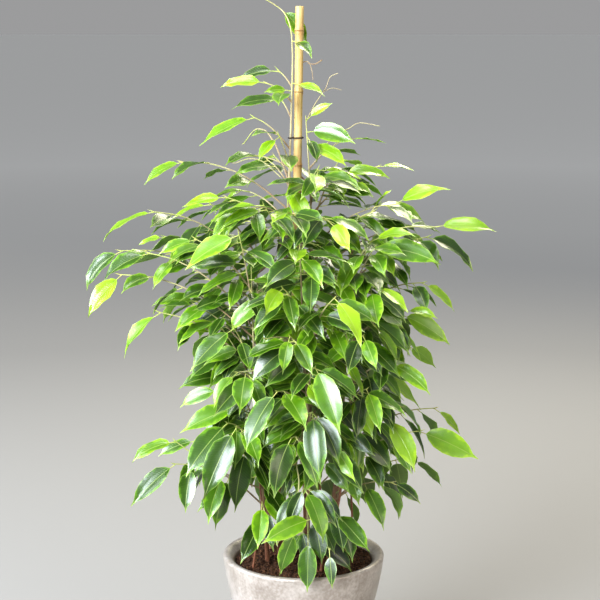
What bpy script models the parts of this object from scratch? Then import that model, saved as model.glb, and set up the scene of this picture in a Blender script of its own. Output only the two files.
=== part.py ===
# Potted weeping fig: eight thin leafy stems round a bamboo cane, in a round glazed pot filled with soil.
# Metres. +Z is up, -Y is the front, and the origin is the centre of the pot's foot.
import math
import random
from dataclasses import dataclass

import bmesh
import bpy
from mathutils import Vector
from mathutils.bvhtree import BVHTree

# Pot
POT_HEIGHT = 0.225
RIM_RADIUS = 0.126
FOOT_RADIUS = 0.062
SIDE_CURVE = 1.4  # 1 would be a straight cone; the side bulges as this grows
FOOT_BEVEL = 0.004
WALL = 0.012
FLOOR = 0.016
LIP_ROUND = 0.005
LIP_CREST_DROP = 0.0012
LIP_SLOPE_RADIUS = 0.1075  # the rim slopes in to this radius
LIP_SLOPE_DROP = 0.011
OUTER_HEIGHTS = (0.045, 0.095, 0.145, 0.190)  # where the side's curve has a ring
INNER_HEIGHTS = (0.197, 0.140, 0.080)
FLOOR_CORNER = 0.010
POT_SIDES = 28

# Soil
SOIL_DROP = 0.012  # below the rim, at the pot's wall
SOIL_MOUND = 0.007
SOIL_LUMP = 0.0022
SOIL_RINGS = (0.88, 0.62, 0.34, 0.0)  # of the surface's radius
SOIL_SIDES = 16
GAP = 0.0009  # between the soil and the pot, whose flats cut the corner by 0.7 mm
EDGE_GAP = 0.0022  # at the rim's slope, so that no lump touches it
HOLE_GAP = 0.0006  # round a stem or the cane in the soil
HOLE_DEEPER = 0.003
HOLE_RISE = 0.020  # above the soil

# Bamboo cane
CANE_RADIUS = 0.0062
CANE_FOOT = Vector((-0.0195, 0.004, 0.085))
CANE_TIP = Vector((-0.0060, 0.004, 1.066))
CANE_JOINTS = (0.20, 0.35, 0.50, 0.61, 0.745, 0.855, 0.945)  # along the cane, from its foot
CANE_JOINT_SWELL = 0.0011
CANE_JOINT_HALF = 0.005
CANE_SIDES = 8

# Tie round the cane and the leader
TIE_HEIGHT = 0.872
TIE_THICK = 0.0011
TIE_TALL = 0.0042
TIE_SLACK = 0.0009
TIE_CANE_STEPS = 8
TIE_STEM_STEPS = 5

# Stems. Each route is x, y and height above the rim, in mm. Below it the stem goes straight down
# into the soil.
STEM_FOOT_DEPTH = 0.062
STEM_RADIUS = 0.0042
STEM_TIP_RADIUS = 0.0009
STEM_STEPS = 2  # between two points of a route
STEM_SIDES = 5
STEMS = {
    "stem_leader": [
        (-38, -6, 0), (-37, -7, 170), (-31, -6, 380), (-22, -3, 580), (-17, -1, 735),
        (-17, 0, 782), (-20, 1, 812), (-33, 24, 836), (-68, 13, 857),
    ],
    "stem_second": [(6, 10, 0), (9, 12, 170), (12, 10, 340), (12, 8, 520), (3, 2, 680)],
    "stem_front": [(2, -42, 0), (8, -54, 120), (4, -68, 280), (-4, -76, 430)],
    "stem_front_right": [(38, -18, 0), (50, -30, 140), (62, -40, 300), (70, -46, 470)],
    "stem_back_right": [(48, 22, 0), (58, 36, 160), (68, 48, 340), (72, 56, 500)],
    "stem_back": [(4, 50, 0), (0, 64, 150), (-4, 76, 330), (-8, 82, 510)],
    "stem_back_left": [(-52, 30, 0), (-62, 42, 150), (-70, 52, 330), (-74, 58, 480)],
    "stem_front_left": [(-56, -26, 0), (-64, -36, 140), (-74, -46, 300), (-78, -52, 460)],
}

# Shoots that give the bush its outline, in mm: the height where one leaves its stem, its end
# (x, y, height), how far its last leaf reaches from there, and how many leaves it bears. Heights are
# above the rim. A leaf that grows from the stem itself has no shoot, and a last leaf with no reach
# follows the rule of the others.
SHOOTS = {
    "stem_leader": [
        (716, None, (-42, -18, 0), 1), (790, None, (30, -46, -24), 1), (728, None, (50, -32, -18), 1),
        (838, None, (41, -4, -54), 1),
        (722, (-36, 2, 745), (-60, 3, -12), 1), (700, (-54, -9, 728), (-70, -6, -5), 2),
        (676, (-33, 3, 703), (-76, -3, -12), 1), (630, (-74, -8, 678), (-82, -12, -42), 2),
        (606, (-36, -20, 650), (-32, -28, -34), 2), (575, (-54, 18, 612), (-52, 2, -30), 3),
        (540, (-182, 8, 610), (-62, 3, -36), 4), (520, (-96, 40, 564), (-44, 22, -40), 3),
        (490, (-115, -20, 560), (-68, -12, -12), 4), (460, (-58, -84, 556), (-84, -22, -28), 4),
    ],
    "stem_second": [
        (672, None, (40, -6, 28), 1), (655, None, (74, -26, -14), 1), (636, None, (58, -32, -30), 1),
        (648, None, (16, -36, -36), 1),
        (600, (66, 0, 645), (58, -5, -5), 2), (565, (56, 12, 592), (76, 0, -8), 3),
        (545, (20, -64, 600), None, 4), (530, (112, 22, 602), (58, 0, -6), 3),
        (510, (54, 66, 606), None, 4), (520, (-44, 72, 612), None, 4),
        (480, (140, -8, 548), (82, -12, 26), 4), (495, (36, -112, 535), (30, -50, -40), 5),
        (465, (-22, -112, 548), None, 5), (455, (102, -36, 540), (28, -26, 36), 3),
        (435, (200, -18, 515), (92, -12, -4), 4),
    ],
    "stem_front": [
        (20, (38, -132, 50), (4, -14, -58), 2), (36, (-10, -128, 78), (-26, -18, -66), 3),
        (52, (14, -145, 100), (-76, -34, -26), 3), (64, (10, -148, 84), (0, -14, -80), 2),
        (92, (0, -168, 154), (28, -32, -74), 5), (126, (42, -150, 212), (34, -40, -44), 5),
        (158, (-18, -188, 234), (-26, -34, -80), 5), (192, (12, -180, 270), (8, -36, -94), 5),
        (224, (-38, -178, 300), (-44, -40, -78), 5), (256, (16, -180, 336), (32, -40, -90), 5),
        (292, (-20, -176, 380), None, 5), (330, (44, -168, 434), (38, -44, -62), 5),
        (366, (-30, -160, 446), None, 5), (405, (-6, -140, 500), None, 5),
    ],
    "stem_front_right": [
        (56, (44, -102, 98), (52, -38, -54), 4), (90, (134, -38, 124), (46, -8, -34), 4),
        (135, (178, -20, 200), (92, -10, -44), 5), (178, (122, -84, 238), (46, -32, -76), 4),
        (220, (92, -120, 290), None, 4), (262, (128, -76, 320), None, 4), (300, (86, -132, 372), None, 4),
        (335, (148, -48, 392), (54, -18, -6), 4), (372, (104, -94, 438), (48, -38, -32), 4),
        (410, (104, -56, 488), (94, -22, -30), 4), (440, (98, -84, 502), (66, -24, 14), 4),
    ],
    "stem_front_left": [
        (46, (-62, -104, 112), None, 3), (84, (-192, -104, 172), (-64, -26, -60), 5),
        (104, (-86, -58, 186), (-20, -26, -96), 3), (112, (-182, -56, 184), (-68, -14, -26), 4),
        (150, (-98, -150, 240), (-44, -42, -100), 4), (166, (-112, -124, 240), (-60, -50, -68), 4),
        (184, (-92, -84, 254), (-92, -26, -34), 3), (212, (-115, -36, 288), (-74, -24, -12), 3),
        (250, (-84, -142, 318), None, 4), (270, (-122, -36, 362), (-64, -18, 10), 3),
        (284, (-102, -106, 378), (-62, -38, -58), 4), (300, (-215, -56, 392), (-55, -18, -66), 3),
        (318, (-160, -48, 400), (-57, -14, 0), 3), (352, (-272, -62, 450), (-52, -26, -58), 4),
        (378, (-232, -34, 478), (-74, -24, -42), 4), (400, (-94, -104, 516), (-80, -22, -46), 4),
        (424, (-160, -44, 500), (-58, -12, -20), 3),
    ],
    "stem_back_right": [
        (150, (206, 38, 222), (44, 8, -44), 5), (210, (114, 0, 286), (68, 0, -56), 4),
        (268, (140, 58, 344), (48, 26, -54), 4), (310, (148, 20, 376), (82, 12, -52), 4),
        (362, (182, 8, 426), (52, 8, -48), 4), (412, (190, 40, 492), (76, 12, -56), 4),
        (456, (116, 28, 544), (74, 12, -30), 4),
    ],
    "stem_back_left": [
        (118, (-165, 4, 178), (-64, -2, -24), 4), (190, (-128, 38, 250), (-68, 4, -28), 4),
        (316, (-160, 4, 396), (-74, -6, -4), 4), (384, (-277, 2, 476), (-60, -2, -60), 5),
        (414, (-212, 40, 492), (-46, 8, -14), 4), (438, (-225, -18, 538), (-80, -8, -42), 5),
        (462, (-142, 30, 544), (-62, 4, -22), 4),
    ],
    "stem_back": [],
}

# Shoots at the back follow a rule: the middle of a stem's sector in degrees, its half width, and how
# many shoots.
BACK_SECTORS = {"stem_back_right": (50, 26, 5), "stem_back": (90, 34, 9), "stem_back_left": (132, 26, 5)}
BACK_LOWEST = 35
BACK_HIGHEST = 470
BACK_RISE = 50  # from a shoot's start to its end
BACK_SHORTER = 0.86  # of every second shoot
BACK_LEAVES = 4
GOLDEN = 0.618
# How far the shoots at the back reach from the pot's axis, by height above the rim
REACH = ((30, 130), (120, 195), (220, 185), (320, 215), (440, 255), (560, 205), (700, 100))

SHOOT_STEPS = 4
SHOOT_SIDES = 3
SHOOT_RADIUS = 0.0020
SHOOT_TIP_RADIUS = 0.0013
SHOOT_ROOT_SHARE = 0.8  # of the stem's own radius there, at most
SHOOT_LIFT = 0.14  # of the shoot's span: how far its arch rises over the straight line
SHOOT_FREE = 0.010  # from here on a shoot is clear of its stem
SHOOT_TRIES = 12
SHOOT_SHIFT = 0.004  # how much further each try moves the shoot's end

# Leaves. Angles are in degrees.
LEAF_START = 0.36  # share of the shoot that is bare
LEAF_END = 0.985
PETIOLE = (0.010, 0.014)
PETIOLE_ROOT_RADIUS = 0.0004
PETIOLE_RADIUS = 0.0007  # at the blade
PETIOLE_FREE = 0.0042  # from here on a petiole is clear of its own shoot
BLADE_FREE = 0.8  # from this share of the petiole on, a leaf is clear of its whole stem
BLADE_LENGTH = (0.058, 0.084)
BLADE_WIDTH = 0.45  # of the length
BLADE_THICK = 0.0010
BLADE_STATIONS = ((0.34, 1.0), (0.72, 0.54))  # place along the blade, and share of its half width
SIDE_TURN = (28, 66)  # from the shoot's heading, to alternate sides
TIP_TURN = (-12, 12)  # the last leaf goes on along the shoot
HANG = 12  # how steeply a leaf at the crown's top hangs
HANG_LOW_LEAVES = 58  # low leaves hang this much more
HANG_SPREAD = 15
FOLLOW_SHOOT = 0.25  # how far a leaf's slope follows its shoot's
BEND = (18, 46)
STEEPEST = 86
ROLL = 24
TURN_TO_LIGHT = (54, 24)  # low and high blades that point sideways turn this much to their light
LIGHT_DIVIDE = 0.04  # the depth where it is as light in front as behind
LIGHT_BLEND = 0.08  # so much further, all the light is from one side
FOLD = (8, 20)
CROWN_HEIGHT = 0.70  # leaves hang more and more below this height
LEAF_TRIES = 16
AIM_SPREAD = 14  # how far the last try turns a leaf whose reach is given
SHORTER_HIGH = 0.16  # how much shorter blades are at the crown's top
SHRINK = 0.12  # of a blade that finds no room at once
CLEARANCE = 0.0009
SEED = 11

MERGE = 0.00001  # points closer than this on a turned piece are one
FLAT = math.radians(1.0)  # faces of a union that meet at less than this are one
SMOOTH_ANGLE = math.radians(40)

COLOURS = {
    "glazed_stoneware": ((0.60, 0.56, 0.51), 0.35),
    "potting_soil": ((0.055, 0.030, 0.018), 1.0),
    "bamboo": ((0.62, 0.48, 0.25), 0.55),
    "tie_wire": ((0.035, 0.028, 0.022), 0.6),
    "fig_leaf": ((0.13, 0.28, 0.045), 0.35),
}


def clear_scene():
    for old in list(bpy.data.objects):
        bpy.data.objects.remove(old)


def material(name):
    found = bpy.data.materials.get(name)
    if found:
        return found
    colour, roughness = COLOURS[name]
    made = bpy.data.materials.new(name)
    made.use_nodes = True
    shader = made.node_tree.nodes["Principled BSDF"]
    shader.inputs["Base Color"].default_value = (*colour, 1.0)
    shader.inputs["Roughness"].default_value = roughness
    shader.inputs["Metallic"].default_value = 0.0
    return made


def add_object(name, mesh, material_name):
    made = bpy.data.objects.new(name, mesh)
    bpy.context.scene.collection.objects.link(made)
    mesh.materials.clear()
    mesh.materials.append(material(material_name))
    return made


def mesh_of(name, points, faces):
    mesh = bpy.data.meshes.new(name)
    mesh.from_pydata([tuple(p) for p in points], [], faces)
    mesh.update()
    return mesh


# Turned pieces: pot, soil and cane


def turned_mesh(name, profile, sides):
    """A profile of (radius, height), from the axis at the bottom round to the axis above, spun about +Z."""
    bm = bmesh.new()
    verts = [bm.verts.new((r, 0.0, z)) for r, z in profile]
    edges = [bm.edges.new(pair) for pair in zip(verts, verts[1:])]
    bmesh.ops.spin(
        bm, geom=verts + edges, cent=(0, 0, 0), axis=(0, 0, 1), angle=math.tau, steps=sides, use_merge=True
    )
    bmesh.ops.remove_doubles(bm, verts=bm.verts, dist=MERGE)
    bmesh.ops.recalc_face_normals(bm, faces=bm.faces)
    mesh = bpy.data.meshes.new(name)
    bm.to_mesh(mesh)
    bm.free()
    mesh.shade_smooth()
    mesh.set_sharp_from_angle(angle=SMOOTH_ANGLE)
    return mesh


def pot_side_radius(height):
    depth = (POT_HEIGHT - height) / POT_HEIGHT
    return RIM_RADIUS - (RIM_RADIUS - FOOT_RADIUS) * depth**SIDE_CURVE


def pot_inner_profile():
    """From the rim's slope down to the floor's edge."""
    points = [(LIP_SLOPE_RADIUS, POT_HEIGHT - LIP_SLOPE_DROP)]
    widest = LIP_SLOPE_RADIUS - FLOOR_CORNER / 4
    points += [(min(pot_side_radius(z) - WALL, widest), z) for z in INNER_HEIGHTS]
    corner_radius = pot_side_radius(FLOOR + FLOOR_CORNER) - WALL
    return points + [(corner_radius, FLOOR + FLOOR_CORNER), (corner_radius - FLOOR_CORNER, FLOOR)]


def make_pot():
    side_heights = (FOOT_BEVEL, *OUTER_HEIGHTS, POT_HEIGHT - LIP_ROUND)
    outer = [(0.0, 0.0), (FOOT_RADIUS - FOOT_BEVEL, 0.0)]
    outer += [(pot_side_radius(z), z) for z in side_heights]
    lip = []
    for degrees in (30, 60, 90):
        turn = math.radians(degrees)
        radius = RIM_RADIUS - LIP_ROUND + LIP_ROUND * math.cos(turn)
        lip.append((radius, POT_HEIGHT - LIP_ROUND + LIP_ROUND * math.sin(turn)))
    crest = (RIM_RADIUS - 2 * LIP_ROUND, POT_HEIGHT - LIP_CREST_DROP)
    profile = outer + lip + [crest] + pot_inner_profile() + [(0.0, FLOOR)]
    return add_object("pot", turned_mesh("pot", profile, POT_SIDES), "glazed_stoneware")


def soil_height(radius):
    """The mounded soil surface, without its lumps."""
    return POT_HEIGHT - SOIL_DROP + SOIL_MOUND * (1 - (radius / LIP_SLOPE_RADIUS) ** 2)


def make_soil():
    rng = random.Random(SEED)
    inner = pot_inner_profile()
    floor_radius, floor = inner[-1]
    top_radius = LIP_SLOPE_RADIUS - EDGE_GAP
    edge_height = POT_HEIGHT - SOIL_DROP - GAP
    profile = [(0.0, floor + GAP), (floor_radius - GAP, floor + GAP)]
    profile += [(r - GAP, z) for r, z in reversed(inner[1:-1])]
    profile += [(top_radius, edge_height)]
    profile += [(top_radius * share, soil_height(top_radius * share)) for share in SOIL_RINGS]
    mesh = turned_mesh("soil", profile, SOIL_SIDES)
    for vertex in mesh.vertices:
        if vertex.co.z > edge_height + GAP / 2:
            vertex.co.z += rng.uniform(-SOIL_LUMP, SOIL_LUMP)
    return add_object("soil", mesh, "potting_soil")


def make_cane():
    length = (CANE_TIP - CANE_FOOT).length
    profile = [(0.0, 0.0), (CANE_RADIUS, 0.0)]
    for joint in CANE_JOINTS:
        profile += [
            (CANE_RADIUS, joint - CANE_JOINT_HALF),
            (CANE_RADIUS + CANE_JOINT_SWELL, joint),
            (CANE_RADIUS, joint + CANE_JOINT_HALF),
        ]
    profile += [(CANE_RADIUS, length), (0.0, length)]
    cane = add_object("cane", turned_mesh("cane", profile, CANE_SIDES), "bamboo")
    cane.location = CANE_FOOT
    cane.rotation_euler = (CANE_TIP - CANE_FOOT).to_track_quat("Z", "Y").to_euler()
    return cane


def cane_axis_at(height):
    return CANE_FOOT.lerp(CANE_TIP, (height - CANE_FOOT.z) / (CANE_TIP.z - CANE_FOOT.z))


def make_tie():
    """A flat band looped round the cane and the leader, like a belt round two wheels."""
    cane = cane_axis_at(TIE_HEIGHT)
    stem, stem_radius = point_at_height(*stem_route("stem_leader"), TIE_HEIGHT)
    cane_loop = CANE_RADIUS + TIE_SLACK
    stem_loop = stem_radius + TIE_SLACK
    across = Vector((stem.x - cane.x, stem.y - cane.y))
    towards_stem = math.atan2(across.y, across.x)
    lean = math.acos((cane_loop - stem_loop) / across.length)
    arcs = [
        (cane, cane_loop, towards_stem + lean, towards_stem + math.tau - lean, TIE_CANE_STEPS),
        (stem, stem_loop, towards_stem - lean, towards_stem + lean, TIE_STEM_STEPS),
    ]
    points = []
    for centre, radius, first, last, steps in arcs:
        for step in range(steps + 1):
            angle = first + (last - first) * step / steps
            out = Vector((math.cos(angle), math.sin(angle), 0.0))
            foot = Vector((centre.x, centre.y, TIE_HEIGHT)) + radius * out
            for grow, up in ((0, -1), (TIE_THICK, -1), (TIE_THICK, 1), (0, 1)):
                points.append(foot + grow * out + Vector((0, 0, up * TIE_TALL / 2)))
    faces = []
    for start in range(0, len(points), 4):
        ahead = (start + 4) % len(points)
        faces += [(start + i, start + (i + 1) % 4, ahead + (i + 1) % 4, ahead + i) for i in range(4)]
    return add_object("tie", mesh_of("tie", points, [tuple(reversed(f)) for f in faces]), "tie_wire")


# Stems, shoots and leaves


def smooth_route(points, steps):
    """Catmull-Rom through the points."""
    padded = [2 * points[0] - points[1], *points, 2 * points[-1] - points[-2]]
    made = []
    for a, b, c, d in zip(padded, padded[1:], padded[2:], padded[3:]):
        for step in range(steps):
            t = step / steps
            square = (2 * a - 5 * b + 4 * c - d) * t**2
            cube = (3 * b - a - 3 * c + d) * t**3
            made.append(0.5 * (2 * b + (c - a) * t + square + cube))
    return made + [points[-1]]


def stem_route(name):
    """The stem's points and radii."""
    points = smooth_route([above_rim(*p) for p in STEMS[name]], STEM_STEPS)
    points.insert(0, points[0] - Vector((0, 0, STEM_FOOT_DEPTH)))
    low, high = points[0].z, points[-1].z
    thinner = (STEM_TIP_RADIUS - STEM_RADIUS) / (high - low)
    return points, [STEM_RADIUS + thinner * (p.z - low) for p in points]


def point_at_height(points, radii, height):
    for low, high, r_low, r_high in zip(points, points[1:], radii, radii[1:]):
        if height <= high.z:
            share = (height - low.z) / (high.z - low.z)
            return low.lerp(high, share), r_low + (r_high - r_low) * share
    return points[-1].copy(), radii[-1]


def tube(points, radii, sides):
    """Vertices and faces of a closed tube along the points."""
    verts, faces = [], []
    runs = [(b - a).normalized() for a, b in zip(points, points[1:])]
    tangents = [runs[0]] + [(a + b).normalized() for a, b in zip(runs, runs[1:])] + [runs[-1]]
    across = tangents[0].orthogonal().normalized()
    for point, radius, tangent in zip(points, radii, tangents):
        across = (across - tangent * across.dot(tangent)).normalized()
        other = tangent.cross(across)
        for side in range(sides):
            angle = math.tau * side / sides
            verts.append(point + radius * (math.cos(angle) * across + math.sin(angle) * other))
    for ring in range(0, (len(points) - 1) * sides, sides):
        for side in range(sides):
            a, b = ring + side, ring + (side + 1) % sides
            faces.append((a, b, b + sides, a + sides))
    faces.append(tuple(reversed(range(sides))))
    faces.append(tuple(range(len(verts) - sides, len(verts))))
    return verts, faces


def route_length(points):
    return sum((b - a).length for a, b in zip(points, points[1:]))


def along(points, share):
    """Point and direction at a share of the way along a route."""
    left = share * route_length(points)
    for a, b in zip(points, points[1:]):
        run = b - a
        if left <= run.length:
            break
        left -= run.length
    return a + run.normalized() * min(left, run.length), run.normalized()


@dataclass
class Shoot:
    """Points of an arch, or the one point of a stem that a leaf grows from. 'reach' aims its last leaf."""

    name: str
    stem: str
    points: list
    reach: Vector | None
    leaves: int


@dataclass
class Leaf:
    """A petiole and a folded blade, whose midrib bends down evenly from its first pitch. In radians."""

    root: Vector
    heading: float
    pitch: float
    bend: float
    roll: float
    fold: float
    petiole: float
    blade: float

    def frame_at(self, distance):
        """The midrib's point, its side and its normal, at a distance from the root."""
        curve = -self.bend / (self.petiole + self.blade)
        pitch = self.pitch + curve * distance
        forward = (math.sin(pitch) - math.sin(self.pitch)) / curve
        rise = (math.cos(self.pitch) - math.cos(pitch)) / curve
        ahead = Vector((math.cos(self.heading), math.sin(self.heading), 0.0))
        tangent = ahead * math.cos(pitch) + Vector((0, 0, math.sin(pitch)))
        side = Vector((math.sin(self.heading), -math.cos(self.heading), 0.0))
        normal = side.cross(tangent)
        rolled_side = side * math.cos(self.roll) + normal * math.sin(self.roll)
        rolled_normal = normal * math.cos(self.roll) - side * math.sin(self.roll)
        return self.root + ahead * forward + Vector((0, 0, rise)), rolled_side, rolled_normal

    def solid(self, start=0.0, extra=0.0):
        """The leaf from this far along its petiole on, closed. 'extra' thickens it to test clearance."""
        verts = []
        for distance, radius in ((start, PETIOLE_ROOT_RADIUS), (self.petiole, PETIOLE_RADIUS)):
            point, side, normal = self.frame_at(distance)
            for degrees in (150, 30, 270):
                turn = math.radians(degrees)
                spoke = math.cos(turn) * side + math.sin(turn) * normal
                verts.append(point + (radius + extra) * spoke)
        for place, share in BLADE_STATIONS:
            point, side, normal = self.frame_at(self.petiole + place * self.blade)
            half = share * self.blade * BLADE_WIDTH / 2 + extra
            out, up = side * half * math.cos(self.fold), normal * half * math.sin(self.fold)
            thick = normal * (BLADE_THICK / 2 + extra)
            verts += [point - out + up, point + thick, point + out + up, point - thick]
        verts.append(self.frame_at(self.petiole + self.blade + extra)[0])
        return verts, LEAF_FACES


# Vertices 0-2 and 3-5 are the petiole's ends, 6-9 and 10-13 the blade's stations, and 14 is its tip.
# Both sides of the blade are split along the same diagonals.
LEAF_FACES = [
    (0, 2, 1), (0, 4, 3), (0, 1, 4), (1, 5, 4), (1, 2, 5), (2, 3, 5), (2, 0, 3),
    (3, 4, 7), (3, 7, 6), (4, 8, 7), (5, 3, 6), (5, 6, 9), (5, 9, 8), (5, 8, 4),
    (6, 11, 10), (6, 7, 11), (7, 12, 11), (7, 8, 12),
    (6, 10, 13), (6, 13, 9), (9, 13, 12), (9, 12, 8),
    (10, 11, 14), (11, 12, 14), (10, 14, 13), (13, 14, 12),
]


class Space:
    """The shells of what is already there, each with its owner, so that nothing new cuts through them."""

    def __init__(self):
        self.shells = []

    @staticmethod
    def shell(verts, faces):
        centre = sum(verts, Vector()) / len(verts)
        radius = max((v - centre).length for v in verts)
        return BVHTree.FromPolygons([tuple(v) for v in verts], faces), centre, radius

    def is_clear(self, shell, but=None):
        """Whether the shell misses all others, not counting those owned by 'but'."""
        tree, centre, radius = shell
        for owner, other, middle, reach in self.shells:
            near = (centre - middle).length_squared < (radius + reach) ** 2
            if near and owner != but and tree.overlap(other):
                return False
        return True

    def add(self, owner, shell):
        self.shells.append((owner, *shell))

    def add_object(self, made):
        bpy.context.view_layer.update()
        verts = [made.matrix_world @ v.co for v in made.data.vertices]
        self.add(made.name, self.shell(verts, [tuple(p.vertices) for p in made.data.polygons]))


def above_rim(x, y, height):
    """A point given in mm, with its height above the rim."""
    return Vector((x, y, height)) * 0.001 + Vector((0, 0, POT_HEIGHT))


def reach_at(height):
    for (low, r_low), (high, r_high) in zip(REACH, REACH[1:]):
        if height <= high:
            break
    return r_low + (r_high - r_low) * (height - low) / (high - low)


def back_shoots(name):
    """Shoots of a back stem: even heights, spread over its sector, with ends near the bush's outline."""
    middle, half, count = BACK_SECTORS.get(name, (0, 0, 0))
    made = []
    for k in range(count):
        start = BACK_LOWEST + (BACK_HIGHEST - BACK_LOWEST) * (k + 0.5) / count
        end = start + BACK_RISE
        angle = math.radians(middle + half * (2 * ((k * GOLDEN) % 1.0) - 1))
        reach = reach_at(end) * (BACK_SHORTER if k % 2 else 1.0)
        made.append((start, (reach * math.cos(angle), reach * math.sin(angle), end), None, BACK_LEAVES))
    return made


def grow_arch(space, shoot, start, end, radii):
    """Points of an arch that droops to its end. Each try changes its end and its arch a bit more."""
    rng = random.Random(f"{SEED} {shoot.name}")
    for attempt in range(SHOOT_TRIES):
        shift = Vector([rng.uniform(-1, 1) for axis in range(3)]) * SHOOT_SHIFT * attempt
        tip = end + shift
        arch = SHOOT_LIFT * (tip - start).xy.length + shift.y
        bend = (start + tip) / 2 + Vector((0, 0, 2 * arch))
        points = []
        for step in range(SHOOT_STEPS + 1):
            t = step / SHOOT_STEPS
            points.append((1 - t) ** 2 * start + 2 * t * (1 - t) * bend + t**2 * tip)
        free = [along(points, SHOOT_FREE / route_length(points))[0], *points[1:]]
        shell = space.shell(*tube(free, [r + CLEARANCE for r in radii], SHOOT_SIDES))
        if space.is_clear(shell, but=shoot.stem):
            space.add(shoot.name, shell)
            return points
    return None


def lowness(point):
    """From 1 at the rim to 0 at the crown's top."""
    return 1.0 - min(1.0, (point.z - POT_HEIGHT) / CROWN_HEIGHT)


def ruled_pose(rng, root, direction, side, attempt):
    """Heading, pitch, bend and blade length of a leaf by its place on its shoot and its height."""
    low = lowness(root)
    loose = 1.0 + attempt / LEAF_TRIES
    turn = side * rng.uniform(*SIDE_TURN) if side else rng.uniform(*TIP_TURN)
    heading = math.degrees(math.atan2(direction.y, direction.x)) + turn * loose
    slope = FOLLOW_SHOOT * math.degrees(math.asin(direction.z)) - HANG - HANG_LOW_LEAVES * low
    slope = max(-STEEPEST + BEND[0] / 2, slope + rng.uniform(-HANG_SPREAD, HANG_SPREAD) * loose)
    bend = min(rng.uniform(*BEND), 2 * (STEEPEST + slope))
    longest = (1 - SHORTER_HIGH * (1 - low)) * (1 - SHRINK * attempt / LEAF_TRIES)
    return heading, slope + bend / 2, bend, rng.uniform(*BLADE_LENGTH) * longest


def aimed_pose(rng, reach, petiole, attempt):
    """Heading, pitch, bend and blade length of a leaf whose tip is given."""
    spread = AIM_SPREAD * attempt / LEAF_TRIES
    heading = math.degrees(math.atan2(reach.y, reach.x)) + rng.uniform(-spread, spread)
    slope = math.degrees(math.asin(reach.z / reach.length)) + rng.uniform(-spread, spread)
    bend = min(rng.uniform(*BEND), 2 * (STEEPEST + slope))
    arc = reach.length * (1 + math.radians(bend) ** 2 / 24)
    return heading, slope + bend / 2, bend, arc - petiole


def turn_to_light(heading, root, aimed, bare):
    """How far a blade with this heading turns to its light, in front of it or behind it. A leaf
    straight on its stem turns as a low one does."""
    light = 1.0 if aimed else max(-1.0, min(1.0, (LIGHT_DIVIDE - root.y) / LIGHT_BLEND))
    away = max(0.0, math.sin(heading) * math.copysign(1.0, light))
    most_low, most_high = TURN_TO_LIGHT
    most = most_high + (most_low - most_high) * (1.0 if bare else lowness(root))
    return most * light * math.cos(heading) * (1 - away)


def grow_leaf(space, shoot, number, share):
    """A leaf at this share of the shoot. It tries other poses until it is clear of everything else."""
    rng = random.Random(f"{SEED} {shoot.name} {number}")
    bare = len(shoot.points) == 1
    root, direction = (shoot.points[0], Vector((0, 0, 1))) if bare else along(shoot.points, share)
    side = (-1, 1)[number % 2] if number else 0
    aimed = bool(shoot.reach) and number == 0
    for attempt in range(LEAF_TRIES):
        petiole = rng.uniform(*PETIOLE)
        if aimed:
            heading, pitch, bend, blade = aimed_pose(rng, shoot.reach, petiole, attempt)
        else:
            heading, pitch, bend, blade = ruled_pose(rng, root, direction, side, attempt)
        roll = rng.uniform(-ROLL, ROLL) - turn_to_light(math.radians(heading), root, aimed, bare)
        fold = rng.uniform(*FOLD)
        leaf = Leaf(root, *map(math.radians, (heading, pitch, bend, roll, fold)), petiole, blade)
        shell = space.shell(*leaf.solid(PETIOLE_FREE, CLEARANCE))
        blade_shell = space.shell(*leaf.solid(BLADE_FREE * petiole, CLEARANCE))
        if space.is_clear(blade_shell) and space.is_clear(shell, but=shoot.stem if bare else shoot.name):
            space.add(f"{shoot.name}_leaf", shell)
            return leaf
    return None


def grow_stems(space):
    """Each stem's route, and the tubes and leaves that will be joined to it."""
    bush = {}
    for name in STEMS:
        points, radii = stem_route(name)
        space.add(name, space.shell(*tube(points, [r + CLEARANCE for r in radii], STEM_SIDES)))
        bush[name] = {"route": (points, radii), "tubes": [tube(points, radii, STEM_SIDES)], "leaves": []}
    return bush


def grow_shoots(space, bush):
    """Adds the shoots' tubes to their stems, and returns the shoots."""
    shoots = []
    for stem_name, stem in bush.items():
        for k, (height, end, reach, leaves) in enumerate(SHOOTS[stem_name] + back_shoots(stem_name)):
            start, stem_radius = point_at_height(*stem["route"], POT_HEIGHT + height * 0.001)
            shoot = Shoot(f"{stem_name}_{k}", stem_name, [start], reach and Vector(reach) * 0.001, leaves)
            if end:
                root_radius = min(SHOOT_RADIUS, SHOOT_ROOT_SHARE * stem_radius)
                thinner = (SHOOT_TIP_RADIUS - root_radius) / SHOOT_STEPS
                radii = [root_radius + thinner * step for step in range(SHOOT_STEPS + 1)]
                shoot.points = grow_arch(space, shoot, start, above_rim(*end), radii)
                if not shoot.points:
                    print(f"{shoot.name} finds no room")
                    continue
                stem["tubes"].append(tube(shoot.points, radii, SHOOT_SIDES))
            shoots.append(shoot)
    return shoots


def grow_leaves(space, bush, shoots):
    """Adds the leaves from each shoot's tip inwards, to alternate sides."""
    missed = 0
    for shoot in shoots:
        for number in range(shoot.leaves):
            share = LEAF_END - (LEAF_END - LEAF_START) * number / max(1, shoot.leaves - 1)
            leaf = grow_leaf(space, shoot, number, share)
            if leaf:
                bush[shoot.stem]["leaves"].append(leaf)
            else:
                missed += 1
    print(f"{sum(len(stem['leaves']) for stem in bush.values())} leaves, {missed} found no room")


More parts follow.
